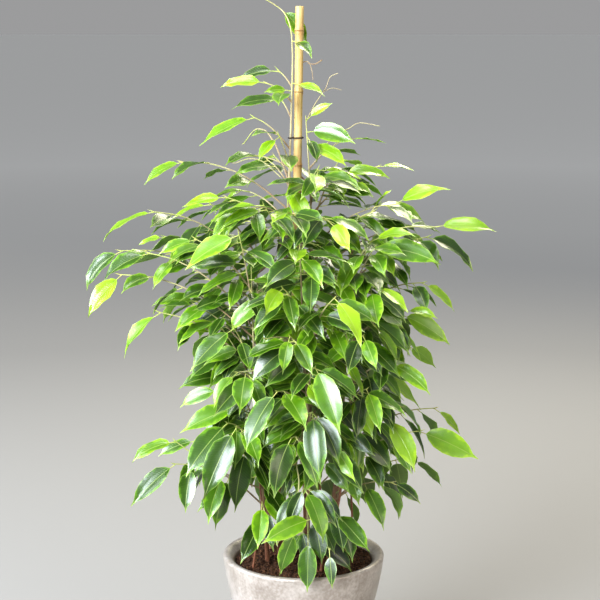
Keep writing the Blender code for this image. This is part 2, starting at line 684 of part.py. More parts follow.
def tidy_union(mesh):
    """Fills sealed hollows and drops loose scraps: the largest shell stays, with its flat faces merged."""
    bm = bmesh.new()
    bm.from_mesh(mesh)
    unseen = set(bm.verts)
    shells = []
    while unseen:
        shell, front = [], [unseen.pop()]
        while front:
            vertex = front.pop()
            shell.append(vertex)
            for edge in vertex.link_edges:
                other = edge.other_vert(vertex)
                if other in unseen:
                    unseen.remove(other)
                    front.append(other)
        shells.append(shell)
    shells.sort(key=len, reverse=True)
    for shell in shells[1:]:
        print(f"{mesh.name}: a shell of {len(shell)} points is dropped")
        bmesh.ops.delete(bm, geom=shell, context="VERTS")
    bmesh.ops.dissolve_limit(bm, angle_limit=FLAT, verts=bm.verts, edges=bm.edges)
    bmesh.ops.triangulate(bm, faces=bm.faces)
    bm.to_mesh(mesh)
    bm.free()


def fuse(name, pieces, material_name):
    """One solid of a stem, its shoots and its leaves, joined by one Boolean union."""
    parts = bpy.data.collections.new(f"{name}_pieces")
    bpy.context.scene.collection.children.link(parts)
    body = add_object(name, mesh_of(name, *pieces[0]), material_name)
    for i, (verts, faces) in enumerate(pieces[1:]):
        piece = bpy.data.objects.new(f"{name}_{i}", mesh_of(f"{name}_{i}", verts, faces))
        parts.objects.link(piece)
    union = body.modifiers.new("union", "BOOLEAN")
    union.operation = "UNION"
    union.operand_type = "COLLECTION"
    union.collection = parts
    union.solver = "MANIFOLD"
    bpy.context.view_layer.update()
    joined = body.evaluated_get(bpy.context.evaluated_depsgraph_get())
    fused = bpy.data.meshes.new_from_object(joined)
    tidy_union(fused)
    body.modifiers.clear()
    body.data = fused
    for part in list(parts.objects):
        bpy.data.objects.remove(part)
    bpy.data.collections.remove(parts)
    return body


def cut_holes(soil, bush):
    """Plain holes in the soil for the cane and the stems' feet."""
    top = soil_height(0.0) + HOLE_RISE
    deeper = Vector((0, 0, HOLE_DEEPER))
    rods = {"cane": (CANE_FOOT - deeper, cane_axis_at(top), CANE_RADIUS, CANE_SIDES)}
    for name, stem in bush.items():
        foot = stem["route"][0][0]
        rods[name] = (foot - deeper, Vector((*foot.xy, top)), STEM_RADIUS, STEM_SIDES)
    for name, (low, high, radius, sides) in rods.items():
        wide = (radius + HOLE_GAP) / math.cos(math.pi / sides)
        rod = mesh_of(f"{name}_hole", *tube([low, high], [wide, wide], sides))
        cutter = add_object(rod.name, rod, "potting_soil")
        cutter.hide_render = True
        cutter.display_type = "WIRE"
        hole = soil.modifiers.new(name, "BOOLEAN")
        hole.operation = "DIFFERENCE"
        hole.solver = "EXACT"
        hole.object = cutter


def main():
    clear_scene()
    space = Space()
    soil = make_soil()
    for still in (make_pot(), soil, make_cane(), make_tie()):
        space.add_object(still)
    bush = grow_stems(space)
    grow_leaves(space, bush, grow_shoots(space, bush))
    cut_holes(soil, bush)
    for name, stem in bush.items():
        fuse(name, stem["tubes"] + [leaf.solid() for leaf in stem["leaves"]], "fig_leaf")


main()
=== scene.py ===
import math
import random

import bmesh
import bpy
import numpy as np
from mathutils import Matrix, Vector, noise
from mathutils.bvhtree import BVHTree


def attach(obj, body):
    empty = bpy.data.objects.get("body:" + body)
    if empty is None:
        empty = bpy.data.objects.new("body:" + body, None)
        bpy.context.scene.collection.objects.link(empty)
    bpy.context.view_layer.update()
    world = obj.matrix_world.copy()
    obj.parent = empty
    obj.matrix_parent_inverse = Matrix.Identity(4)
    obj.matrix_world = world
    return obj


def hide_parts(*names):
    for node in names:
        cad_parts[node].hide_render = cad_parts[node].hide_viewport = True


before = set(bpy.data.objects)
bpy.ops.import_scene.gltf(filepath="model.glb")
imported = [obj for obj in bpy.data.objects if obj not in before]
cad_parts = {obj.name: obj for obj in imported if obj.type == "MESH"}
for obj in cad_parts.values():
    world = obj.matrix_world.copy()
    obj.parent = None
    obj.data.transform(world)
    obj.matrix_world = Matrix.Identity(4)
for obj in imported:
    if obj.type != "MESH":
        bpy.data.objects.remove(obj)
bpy.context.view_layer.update()  # metres, +Z up, -Y is the front, origin at the centre of the pot's foot
print("frame loaded:", ", ".join(sorted(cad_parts)))


# Small helpers


def linear(hexColour):  # an sRGB hex colour, as the linear values that a shader takes
    parts = [int(hexColour[i:i + 2], 16) / 255 for i in (1, 3, 5)]
    return (*[c / 12.92 if c <= 0.04045 else ((c + 0.055) / 1.055) ** 2.4 for c in parts], 1.0)


def feed(tree, node, links):  # each output in links goes to the node's input of that name or number
    for key, source in links.items():
        tree.links.new(source, node.inputs[key])


def addNode(tree, kind, settings=None, links=None, out=0):  # one node, with its settings and what feeds it
    node = tree.nodes.new("ShaderNode" + kind)
    for key, value in (settings or {}).items():
        if key == "stops":  # a colour ramp's places and colours
            ramp = node.color_ramp
            while len(ramp.elements) < len(value):
                ramp.elements.new(1.0)
            for element, (place, colour) in zip(ramp.elements, value):
                element.position = place
                element.color = linear(colour)
        elif isinstance(key, int) or key in node.inputs:
            node.inputs[key].default_value = value
        else:
            setattr(node, key, value)
    feed(tree, node, links or {})
    return node.outputs[out]


timesPlus = {"operation": "MULTIPLY_ADD"}  # input 0 times input 1, plus input 2
rgba = {"data_type": "RGBA"}  # a mix of colours: input 0 is the share of input 7 over input 6


def newMaterial(name, settings):  # a Principled material, with the values that are the same all over
    made = bpy.data.materials.new(name)
    made.use_nodes = True
    shader = made.node_tree.nodes["Principled BSDF"]
    for key, value in settings.items():
        shader.inputs[key].default_value = value
    return made, made.node_tree, shader


def mottle(tree, shader, scale, detail, stops, relief=None):  # one noise tints a surface and lifts it
    place = addNode(tree, "TexCoord", out="Object")
    patches = addNode(tree, "TexNoise", {"Scale": scale, "Detail": detail}, {"Vector": place})
    feed(tree, shader, {"Base Color": addNode(tree, "ValToRGB", {"stops": stops}, {"Fac": patches})})
    if relief:
        bump = addNode(tree, "Bump", dict(zip(("Strength", "Distance"), relief)), {"Height": patches})
        feed(tree, shader, {"Normal": bump})


def deselectAll():
    if bpy.context.object and bpy.context.object.mode != "OBJECT":
        bpy.ops.object.mode_set(mode="OBJECT")
    bpy.ops.object.select_all(action="DESELECT")


def newPiece(name, verts, faces, materials):  # an object from points and faces made in code
    mesh = bpy.data.meshes.new(name)
    mesh.from_pydata([tuple(v) for v in verts], [], faces)
    piece = bpy.data.objects.new(name, mesh)
    bpy.context.scene.collection.objects.link(piece)
    for material in materials:
        mesh.materials.append(material)
    return piece


def addPart(verts, faces, partVerts, partFaces):  # one more shape for the piece that these lists make
    start = len(verts)
    verts.extend(partVerts)
    faces.extend([tuple(start + i for i in face) for face in partFaces])


def smoothShade(piece, degrees):
    piece.data.shade_smooth()
    piece.data.set_sharp_from_angle(angle=math.radians(degrees))


def pushAttribute(mesh, name, rows):  # one vector for each point
    layer = mesh.attributes.new(name, "FLOAT_VECTOR", "POINT")
    layer.data.foreach_set("vector", np.asarray(rows, dtype=np.float32).ravel())


# Camera, light and floor

view = {
    "place": (-0.0055, -2.400, 1.0554),
    "sensor": 36,  # mm
    "lens": 96.05,  # mm
    "pitch": -10.154,  # degrees, looking a little down
}
studio = {
    # The floor's ramp is painted shade near the pot, against the lamps' pool of light, and painted light far
    # away, where they reach less
    "floorPaintedLightAndShade": [(0.0, "#8F8E8C"), (0.3, "#A3A2A0"), (0.62, "#D5D4D1"), (1.0, "#F4F3F0")],  # near to far
    "floorSize": 160.0,
    "floorFar": 9.0,  # m from the pot, where the floor has its far colour
    "sky": [(0.0, "#CECECF"), (0.06, "#CECECF"), (0.5, "#CDCFD2"), (1.0, "#E6E9ED")],  # horizon to zenith
    "skyStrength": 0.55,
    "lamps": {  # place, size in metres, power in watts, colour; each is aimed at the bush's middle
        "window": ((-1.9, -2.5, 1.9), 2.0, 285, "#EEF5FF"),
        "side": ((-2.6, 0.2, 1.9), 1.2, 50, "#F4F8FF"),
        "fill": ((2.4, -2.0, 1.3), 1.6, 30, "#FFF3E2"),
        "back": ((0.9, 1.9, 2.5), 1.2, 60, "#FFF6DE"),
        "over": ((-0.2, -0.3, 3.0), 0.9, 26, "#FFFFFF"),
    },
    "aim": (0.0, 0.0, 0.66),
    "gamma": 0.9,  # below 1: deeper shade among the leaves
    "exposure": 0.12,
}


def setCamera():
    data = bpy.data.cameras.new("photo_camera")
    data.sensor_width = view["sensor"]
    data.lens = view["lens"]
    camera = bpy.data.objects.new("photo_camera", data)
    camera.location = view["place"]
    camera.rotation_euler = (math.radians(90 + view["pitch"]), 0, 0)
    bpy.context.scene.collection.objects.link(camera)
    bpy.context.scene.camera = camera


def setLights():
    for name, (place, size, power, colour) in studio["lamps"].items():
        data = bpy.data.lights.new(name, "AREA")
        data.shape = "SQUARE"
        data.size = size
        data.energy = power
        data.color = linear(colour)[:3]
        lamp = bpy.data.objects.new(name, data)
        lamp.location = place
        lamp.rotation_euler = (Vector(studio["aim"]) - Vector(place)).to_track_quat("-Z", "Y").to_euler()
        bpy.context.scene.collection.objects.link(lamp)
    world = bpy.data.worlds.new("studio")
    world.use_nodes = True
    tree = world.node_tree
    sky = tree.nodes["Background"]
    sky.inputs["Strength"].default_value = studio["skyStrength"]
    direction = addNode(tree, "TexCoord", out="Generated")
    height = addNode(tree, "SeparateXYZ", links={0: direction}, out="Z")
    feed(tree, sky, {"Color": addNode(tree, "ValToRGB", {"stops": studio["sky"]}, {"Fac": height})})
    bpy.context.scene.world = world
    bpy.context.scene.view_settings.view_transform = "Standard"
    bpy.context.scene.view_settings.gamma = studio["gamma"]
    bpy.context.scene.view_settings.exposure = studio["exposure"]


def makeFloor():
    # Floor paint, matt and pale: painted shade darkens it near the pot, where the lamps light it most, and
    # painted light makes it lighter far away, so that it meets the sky without an edge
    floorPaint, tree, shader = newMaterial("pale_floor_paint", {"Roughness": 0.7})
    place = addNode(tree, "TexCoord", out="Object")
    distance = addNode(tree, "VectorMath", {"operation": "LENGTH"}, {0: place}, out="Value")
    share = addNode(tree, "MapRange", {"From Max": studio["floorFar"]}, {"Value": distance})
    tint = addNode(tree, "ValToRGB", {"stops": studio["floorPaintedLightAndShade"]}, {"Fac": share})
    feed(tree, shader, {"Base Color": tint})
    deselectAll()
    bpy.ops.mesh.primitive_plane_add(size=studio["floorSize"], location=(0, 0, 0))
    floor = bpy.context.object
    floor.name = "floor"
    floor.data.materials.append(floorPaint)


setCamera()
setLights()
makeFloor()
print("camera, lights and floor set")


# The plant's growth. It follows the same rules as the solids, so that each fine leaf lies where the
# solid of that leaf is. Lists are in mm, with heights above the pot's rim.

plant = {
    "seed": 11,
    "rim": 0.225,
    "clearance": 0.0009,
    "footDepth": 0.062,
    "stemRadius": 0.0042,
    "stemTipRadius": 0.0009,
    "stemSteps": 2,
    "stemSides": 5,
    "crown": 0.70,  # m above the rim: leaves hang more and more below this height
}
stemRoutes = {
    "stem_leader": [
        (-38, -6, 0), (-37, -7, 170), (-31, -6, 380), (-22, -3, 580), (-17, -1, 735),
        (-17, 0, 782), (-20, 1, 812), (-33, 24, 836), (-68, 13, 857),
    ],
    "stem_second": [(6, 10, 0), (9, 12, 170), (12, 10, 340), (12, 8, 520), (3, 2, 680)],
    "stem_front": [(2, -42, 0), (8, -54, 120), (4, -68, 280), (-4, -76, 430)],
    "stem_front_right": [(38, -18, 0), (50, -30, 140), (62, -40, 300), (70, -46, 470)],
    "stem_back_right": [(48, 22, 0), (58, 36, 160), (68, 48, 340), (72, 56, 500)],
    "stem_back": [(4, 50, 0), (0, 64, 150), (-4, 76, 330), (-8, 82, 510)],
    "stem_back_left": [(-52, 30, 0), (-62, 42, 150), (-70, 52, 330), (-74, 58, 480)],
    "stem_front_left": [(-56, -26, 0), (-64, -36, 140), (-74, -46, 300), (-78, -52, 460)],
}
# A shoot's height on its stem, its end, how far its last leaf reaches from there, and how many leaves.
# A leaf straight on the stem has no end.
shootLists = {
    "stem_leader": [
        (716, None, (-42, -18, 0), 1), (790, None, (30, -46, -24), 1), (728, None, (50, -32, -18), 1),
        (838, None, (41, -4, -54), 1),
        (722, (-36, 2, 745), (-60, 3, -12), 1), (700, (-54, -9, 728), (-70, -6, -5), 2),
        (676, (-33, 3, 703), (-76, -3, -12), 1), (630, (-74, -8, 678), (-82, -12, -42), 2),
        (606, (-36, -20, 650), (-32, -28, -34), 2), (575, (-54, 18, 612), (-52, 2, -30), 3),
        (540, (-182, 8, 610), (-62, 3, -36), 4), (520, (-96, 40, 564), (-44, 22, -40), 3),
        (490, (-115, -20, 560), (-68, -12, -12), 4), (460, (-58, -84, 556), (-84, -22, -28), 4),
    ],
    "stem_second": [
        (672, None, (40, -6, 28), 1), (655, None, (74, -26, -14), 1), (636, None, (58, -32, -30), 1),
        (648, None, (16, -36, -36), 1),
        (600, (66, 0, 645), (58, -5, -5), 2), (565, (56, 12, 592), (76, 0, -8), 3),
        (545, (20, -64, 600), None, 4), (530, (112, 22, 602), (58, 0, -6), 3),
        (510, (54, 66, 606), None, 4), (520, (-44, 72, 612), None, 4),
        (480, (140, -8, 548), (82, -12, 26), 4), (495, (36, -112, 535), (30, -50, -40), 5),
        (465, (-22, -112, 548), None, 5), (455, (102, -36, 540), (28, -26, 36), 3),
        (435, (200, -18, 515), (92, -12, -4), 4),
    ],
    "stem_front": [
        (20, (38, -132, 50), (4, -14, -58), 2), (36, (-10, -128, 78), (-26, -18, -66), 3),
        (52, (14, -145, 100), (-76, -34, -26), 3), (64, (10, -148, 84), (0, -14, -80), 2),
        (92, (0, -168, 154), (28, -32, -74), 5), (126, (42, -150, 212), (34, -40, -44), 5),
        (158, (-18, -188, 234), (-26, -34, -80), 5), (192, (12, -180, 270), (8, -36, -94), 5),
        (224, (-38, -178, 300), (-44, -40, -78), 5), (256, (16, -180, 336), (32, -40, -90), 5),
        (292, (-20, -176, 380), None, 5), (330, (44, -168, 434), (38, -44, -62), 5),
        (366, (-30, -160, 446), None, 5), (405, (-6, -140, 500), None, 5),
    ],
    "stem_front_right": [
        (56, (44, -102, 98), (52, -38, -54), 4), (90, (134, -38, 124), (46, -8, -34), 4),
        (135, (178, -20, 200), (92, -10, -44), 5), (178, (122, -84, 238), (46, -32, -76), 4),
        (220, (92, -120, 290), None, 4), (262, (128, -76, 320), None, 4), (300, (86, -132, 372), None, 4),
        (335, (148, -48, 392), (54, -18, -6), 4), (372, (104, -94, 438), (48, -38, -32), 4),
        (410, (104, -56, 488), (94, -22, -30), 4), (440, (98, -84, 502), (66, -24, 14), 4),
    ],
    "stem_front_left": [
        (46, (-62, -104, 112), None, 3), (84, (-192, -104, 172), (-64, -26, -60), 5),
        (104, (-86, -58, 186), (-20, -26, -96), 3), (112, (-182, -56, 184), (-68, -14, -26), 4),
        (150, (-98, -150, 240), (-44, -42, -100), 4), (166, (-112, -124, 240), (-60, -50, -68), 4),
        (184, (-92, -84, 254), (-92, -26, -34), 3), (212, (-115, -36, 288), (-74, -24, -12), 3),
        (250, (-84, -142, 318), None, 4), (270, (-122, -36, 362), (-64, -18, 10), 3),
        (284, (-102, -106, 378), (-62, -38, -58), 4), (300, (-215, -56, 392), (-55, -18, -66), 3),
        (318, (-160, -48, 400), (-57, -14, 0), 3), (352, (-272, -62, 450), (-52, -26, -58), 4),
        (378, (-232, -34, 478), (-74, -24, -42), 4), (400, (-94, -104, 516), (-80, -22, -46), 4),
        (424, (-160, -44, 500), (-58, -12, -20), 3),
    ],
    "stem_back_right": [
        (150, (206, 38, 222), (44, 8, -44), 5), (210, (114, 0, 286), (68, 0, -56), 4),
        (268, (140, 58, 344), (48, 26, -54), 4), (310, (148, 20, 376), (82, 12, -52), 4),
        (362, (182, 8, 426), (52, 8, -48), 4), (412, (190, 40, 492), (76, 12, -56), 4),
        (456, (116, 28, 544), (74, 12, -30), 4),
    ],
    "stem_back_left": [
        (118, (-165, 4, 178), (-64, -2, -24), 4), (190, (-128, 38, 250), (-68, 4, -28), 4),
        (316, (-160, 4, 396), (-74, -6, -4), 4), (384, (-277, 2, 476), (-60, -2, -60), 5),
        (414, (-212, 40, 492), (-46, 8, -14), 4), (438, (-225, -18, 538), (-80, -8, -42), 5),
        (462, (-142, 30, 544), (-62, 4, -22), 4),
    ],
    "stem_back": [],
}
backRule = {
    "sectors": {"stem_back_right": (50, 26, 5), "stem_back": (90, 34, 9), "stem_back_left": (132, 26, 5)},
    "heights": (35, 470),
    "rise": 50,
    "shorter": 0.86,
    "leaves": 4,
    "golden": 0.618,
    "reach": ((30, 130), (120, 195), (220, 185), (320, 215), (440, 255), (560, 205), (700, 100)),
}
shootRule = {
    "steps": 4,
    "sides": 3,
    "radius": 0.0020,
    "tipRadius": 0.0013,
    "rootShare": 0.8,
    "lift": 0.14,  # of its span: how far a shoot arches over the straight line
    "free": 0.010,
    "tries": 12,
    "shift": 0.004,
}
leafRule = {  # angles in degrees
    "span": (0.36, 0.985),  # the stretch of a shoot that bears leaves
    "petiole": (0.010, 0.014),
    "petioleRadii": (0.0004, 0.0007),
    "petioleFree": 0.0042,
    "bladeFree": 0.8,
    "length": (0.058, 0.084),
    "width": 0.45,
    "thick": 0.0010,
    "stations": ((0.34, 1.0), (0.72, 0.54)),
    "sideTurn": (28, 66),
    "tipTurn": (-12, 12),
    "hang": 12,
    "hangLow": 58,
    "hangSpread": 15,
    "followShoot": 0.25,
    "bend": (18, 46),
    "steepest": 86,
    "roll": 24,
    "turnToLight": (54, 24),  # low and high leaves
    "lightDivide": 0.04,
    "lightBlend": 0.08,
    "fold": (8, 20),
    "tries": 16,
    "aimSpread": 14,
    "shrink": 0.12,
    "shorterHigh": 0.16,
}
leafFaces = [  # of the plain leaf that tests what is free
    (0, 2, 1), (0, 4, 3), (0, 1, 4), (1, 5, 4), (1, 2, 5), (2, 3, 5), (2, 0, 3),
    (3, 4, 7), (3, 7, 6), (4, 8, 7), (5, 3, 6), (5, 6, 9), (5, 9, 8), (5, 8, 4),
    (6, 11, 10), (6, 7, 11), (7, 12, 11), (7, 8, 12),
    (6, 10, 13), (6, 13, 9), (9, 13, 12), (9, 12, 8),
    (10, 11, 14), (11, 12, 14), (10, 14, 13), (13, 14, 12),
]
shells = []  # of all that has grown: owner, tree, centre and radius


def aboveRim(x, y, height):
    return Vector((x, y, height)) * 0.001 + Vector((0, 0, plant["rim"]))


def shellOf(verts, faces):
    centre = sum(verts, Vector()) / len(verts)
    radius = max((v - centre).length for v in verts)
    return BVHTree.FromPolygons([tuple(v) for v in verts], faces), centre, radius


def isClear(shell, but=None):
    tree, centre, radius = shell
    for owner, other, middle, reach in shells:
        near = (centre - middle).length_squared < (radius + reach) ** 2
        if near and owner != but and tree.overlap(other):
            return False
    return True


def smoothRoute(points, steps):  # Catmull-Rom through the points
    padded = [2 * points[0] - points[1], *points, 2 * points[-1] - points[-2]]
    made = []
    for a, b, c, d in zip(padded, padded[1:], padded[2:], padded[3:]):
        for step in range(steps):
            t = step / steps
            square = (2 * a - 5 * b + 4 * c - d) * t**2
            cube = (3 * b - a - 3 * c + d) * t**3
            made.append(0.5 * (2 * b + (c - a) * t + square + cube))
    return made + [points[-1]]


def stemRoute(name):
    points = smoothRoute([aboveRim(*p) for p in stemRoutes[name]], plant["stemSteps"])
    points.insert(0, points[0] - Vector((0, 0, plant["footDepth"])))
    low, high = points[0].z, points[-1].z
    thinner = (plant["stemTipRadius"] - plant["stemRadius"]) / (high - low)
    return points, [plant["stemRadius"] + thinner * (p.z - low) for p in points]


def pointAtHeight(points, radii, height):
    for low, high, radiusLow, radiusHigh in zip(points, points[1:], radii, radii[1:]):
        if height <= high.z:
            share = (height - low.z) / (high.z - low.z)
            return low.lerp(high, share), radiusLow + (radiusHigh - radiusLow) * share
    return points[-1].copy(), radii[-1]


def tube(points, radii, sides):  # points and faces of a closed tube
    verts, faces = [], []
    runs = [(b - a).normalized() for a, b in zip(points, points[1:])]
    tangents = [runs[0]] + [(a + b).normalized() for a, b in zip(runs, runs[1:])] + [runs[-1]]
    across = tangents[0].orthogonal().normalized()
    for point, radius, tangent in zip(points, radii, tangents):
        across = (across - tangent * across.dot(tangent)).normalized()
        other = tangent.cross(across)
        for side in range(sides):
            angle = math.tau * side / sides
            verts.append(point + radius * (math.cos(angle) * across + math.sin(angle) * other))
    for ring in range(0, (len(points) - 1) * sides, sides):
        for side in range(sides):
            a, b = ring + side, ring + (side + 1) % sides
            faces.append((a, b, b + sides, a + sides))
    faces.append(tuple(reversed(range(sides))))
    faces.append(tuple(range(len(verts) - sides, len(verts))))
    return verts, faces


def routeLength(points):
    return sum((b - a).length for a, b in zip(points, points[1:]))


def along(points, share):
    left = share * routeLength(points)
    for a, b in zip(points, points[1:]):
        run = b - a
        if left <= run.length:
            break
        left -= run.length
    return a + run.normalized() * min(left, run.length), run.normalized()


def reachAt(height):
    for (low, reachLow), (high, reachHigh) in zip(backRule["reach"], backRule["reach"][1:]):
        if height <= high:
            break
    return reachLow + (reachHigh - reachLow) * (height - low) / (high - low)


def backShoots(name):
    middle, half, count = backRule["sectors"].get(name, (0, 0, 0))
    lowest, highest = backRule["heights"]
    made = []
    for k in range(count):
        start = lowest + (highest - lowest) * (k + 0.5) / count
        end = start + backRule["rise"]
        angle = math.radians(middle + half * (2 * ((k * backRule["golden"]) % 1.0) - 1))
        reach = reachAt(end) * (backRule["shorter"] if k % 2 else 1.0)
        tip = (reach * math.cos(angle), reach * math.sin(angle), end)
        made.append((start, tip, None, backRule["leaves"]))
    return made


def growArch(shoot, start, end, radii):
    rng = random.Random(f"{plant['seed']} {shoot['name']}")
    steps = shootRule["steps"]
    for attempt in range(shootRule["tries"]):
        shift = Vector([rng.uniform(-1, 1) for axis in range(3)]) * shootRule["shift"] * attempt
        tip = end + shift
        arch = shootRule["lift"] * (tip - start).xy.length + shift.y
        bend = (start + tip) / 2 + Vector((0, 0, 2 * arch))
        points = []
        for step in range(steps + 1):
            t = step / steps
            points.append((1 - t) ** 2 * start + 2 * t * (1 - t) * bend + t**2 * tip)
        free = [along(points, shootRule["free"] / routeLength(points))[0], *points[1:]]
        shell = shellOf(*tube(free, [r + plant["clearance"] for r in radii], shootRule["sides"]))
        if isClear(shell, but=shoot["stem"]):
            shells.append((shoot["name"], *shell))
            return points
    return None


def midribAt(leaf, distance):  # the midrib's point, side and normal at a distance from the leaf's root
    curve = -leaf["bend"] / (leaf["petiole"] + leaf["blade"])
    pitch = leaf["pitch"] + curve * distance
    forward = (math.sin(pitch) - math.sin(leaf["pitch"])) / curve
    rise = (math.cos(leaf["pitch"]) - math.cos(pitch)) / curve
    ahead = Vector((math.cos(leaf["heading"]), math.sin(leaf["heading"]), 0.0))
    tangent = ahead * math.cos(pitch) + Vector((0, 0, math.sin(pitch)))
    side = Vector((math.sin(leaf["heading"]), -math.cos(leaf["heading"]), 0.0))
    normal = side.cross(tangent)
    rolledSide = side * math.cos(leaf["roll"]) + normal * math.sin(leaf["roll"])
    rolledNormal = normal * math.cos(leaf["roll"]) - side * math.sin(leaf["roll"])
    return leaf["root"] + ahead * forward + Vector((0, 0, rise)), rolledSide, rolledNormal


def plainLeaf(leaf, start, extra):
    verts = []
    for distance, radius in zip((start, leaf["petiole"]), leafRule["petioleRadii"]):
        point, side, normal = midribAt(leaf, distance)
        for degrees in (150, 30, 270):
            turn = math.radians(degrees)
            spoke = math.cos(turn) * side + math.sin(turn) * normal
            verts.append(point + (radius + extra) * spoke)
    for place, share in leafRule["stations"]:
        point, side, normal = midribAt(leaf, leaf["petiole"] + place * leaf["blade"])
        half = share * leaf["blade"] * leafRule["width"] / 2 + extra
        out, up = side * half * math.cos(leaf["fold"]), normal * half * math.sin(leaf["fold"])
        thick = normal * (leafRule["thick"] / 2 + extra)
        verts += [point - out + up, point + thick, point + out + up, point - thick]
    verts.append(midribAt(leaf, leaf["petiole"] + leaf["blade"] + extra)[0])
    return verts, leafFaces


def lowness(point):  # from 1 at the rim to 0 at the crown's top
    return 1.0 - min(1.0, (point.z - plant["rim"]) / plant["crown"])


def ruledPose(rng, root, direction, side, attempt):
    low = lowness(root)
    loose = 1.0 + attempt / leafRule["tries"]
    turn = side * rng.uniform(*leafRule["sideTurn"]) if side else rng.uniform(*leafRule["tipTurn"])
    heading = math.degrees(math.atan2(direction.y, direction.x)) + turn * loose
    slope = leafRule["followShoot"] * math.degrees(math.asin(direction.z))
    slope = slope - leafRule["hang"] - leafRule["hangLow"] * low
    spread = leafRule["hangSpread"]
    steepest = leafRule["steepest"]
    slope = max(-steepest + leafRule["bend"][0] / 2, slope + rng.uniform(-spread, spread) * loose)
    bend = min(rng.uniform(*leafRule["bend"]), 2 * (steepest + slope))
    longest = 1 - leafRule["shorterHigh"] * (1 - low)
    longest = longest * (1 - leafRule["shrink"] * attempt / leafRule["tries"])
    return heading, slope + bend / 2, bend, rng.uniform(*leafRule["length"]) * longest


def aimedPose(rng, reach, petiole, attempt):
    spread = leafRule["aimSpread"] * attempt / leafRule["tries"]
    heading = math.degrees(math.atan2(reach.y, reach.x)) + rng.uniform(-spread, spread)
    slope = math.degrees(math.asin(reach.z / reach.length)) + rng.uniform(-spread, spread)
    bend = min(rng.uniform(*leafRule["bend"]), 2 * (leafRule["steepest"] + slope))
    arc = reach.length * (1 + math.radians(bend) ** 2 / 24)  # the length of a shallow arc over that chord
    return heading, slope + bend / 2, bend, arc - petiole


def turnToLight(heading, root, aimed, bare):
    light = (leafRule["lightDivide"] - root.y) / leafRule["lightBlend"]
    light = 1.0 if aimed else max(-1.0, min(1.0, light))
    away = max(0.0, math.sin(heading) * math.copysign(1.0, light))
    mostLow, mostHigh = leafRule["turnToLight"]
    most = mostHigh + (mostLow - mostHigh) * (1.0 if bare else lowness(root))
    return most * light * math.cos(heading) * (1 - away)


def growLeaf(shoot, number, share):
    rng = random.Random(f"{plant['seed']} {shoot['name']} {number}")
    bare = len(shoot["points"]) == 1
    root, direction = (shoot["points"][0], Vector((0, 0, 1))) if bare else along(shoot["points"], share)
    side = (-1, 1)[number % 2] if number else 0
    aimed = bool(shoot["reach"]) and number == 0
    for attempt in range(leafRule["tries"]):
        petiole = rng.uniform(*leafRule["petiole"])
        if aimed:
            heading, pitch, bend, blade = aimedPose(rng, shoot["reach"], petiole, attempt)
        else:
            heading, pitch, bend, blade = ruledPose(rng, root, direction, side, attempt)
        turn = turnToLight(math.radians(heading), root, aimed, bare)
        roll = rng.uniform(-leafRule["roll"], leafRule["roll"]) - turn
        fold = rng.uniform(*leafRule["fold"])
        angles = map(math.radians, (heading, pitch, bend, roll, fold))
        leaf = dict(zip(("heading", "pitch", "bend", "roll", "fold"), angles))
        leaf |= {"root": root, "petiole": petiole, "blade": blade, "shoot": shoot, "number": number}
        shell = shellOf(*plainLeaf(leaf, leafRule["petioleFree"], plant["clearance"]))
        bladeShell = shellOf(*plainLeaf(leaf, leafRule["bladeFree"] * petiole, plant["clearance"]))
        if isClear(bladeShell) and isClear(shell, but=shoot["stem"] if bare else shoot["name"]):
            shells.append((f"{shoot['name']}_leaf", *shell))
            return leaf
    return None


def growShoot(bush, stemName, label, height, end, reach, leaves):
    start, stemRadius = pointAtHeight(*bush[stemName]["route"], plant["rim"] + height * 0.001)
    shoot = {"name": label, "stem": stemName, "points": [start], "leaves": leaves}
    shoot["reach"] = reach and Vector(reach) * 0.001
    if end:
        rootRadius = min(shootRule["radius"], shootRule["rootShare"] * stemRadius)
        thinner = (shootRule["tipRadius"] - rootRadius) / shootRule["steps"]
        radii = [rootRadius + thinner * step for step in range(shootRule["steps"] + 1)]
        shoot["points"] = growArch(shoot, start, aboveRim(*end), radii)
    return shoot if shoot["points"] else None


def growBush():
    bush = {}
    for name in ("pot", "soil", "cane", "tie"):
        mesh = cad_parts[name].data
        faces = [tuple(p.vertices) for p in mesh.polygons]
        shells.append((name, *shellOf([v.co.copy() for v in mesh.vertices], faces)))
    for name in stemRoutes:
        points, radii = stemRoute(name)
        wider = [r + plant["clearance"] for r in radii]
        shells.append((name, *shellOf(*tube(points, wider, plant["stemSides"]))))
        bush[name] = {"route": (points, radii), "shoots": [], "leaves": []}
    for name in stemRoutes:
        for k, row in enumerate(shootLists[name] + backShoots(name)):
            shoot = growShoot(bush, name, f"{name}_{k}", *row)
            if shoot:
                bush[name]["shoots"].append(shoot)
    first, last = leafRule["span"]
    for name, stem in bush.items():
        for shoot in stem["shoots"]:
            for number in range(shoot["leaves"]):
                share = last - (last - first) * number / max(1, shoot["leaves"] - 1)
                stem["leaves"].append(growLeaf(shoot, number, share))
    return bush


bush = growBush()
for stem in bush.values():
    stem["leaves"] = [leaf for leaf in stem["leaves"] if leaf]
print(sum(len(stem["leaves"]) for stem in bush.values()), "leaves stand where their solids are")


# More leaves between those of the solids, and short inner shoots that fill the bush

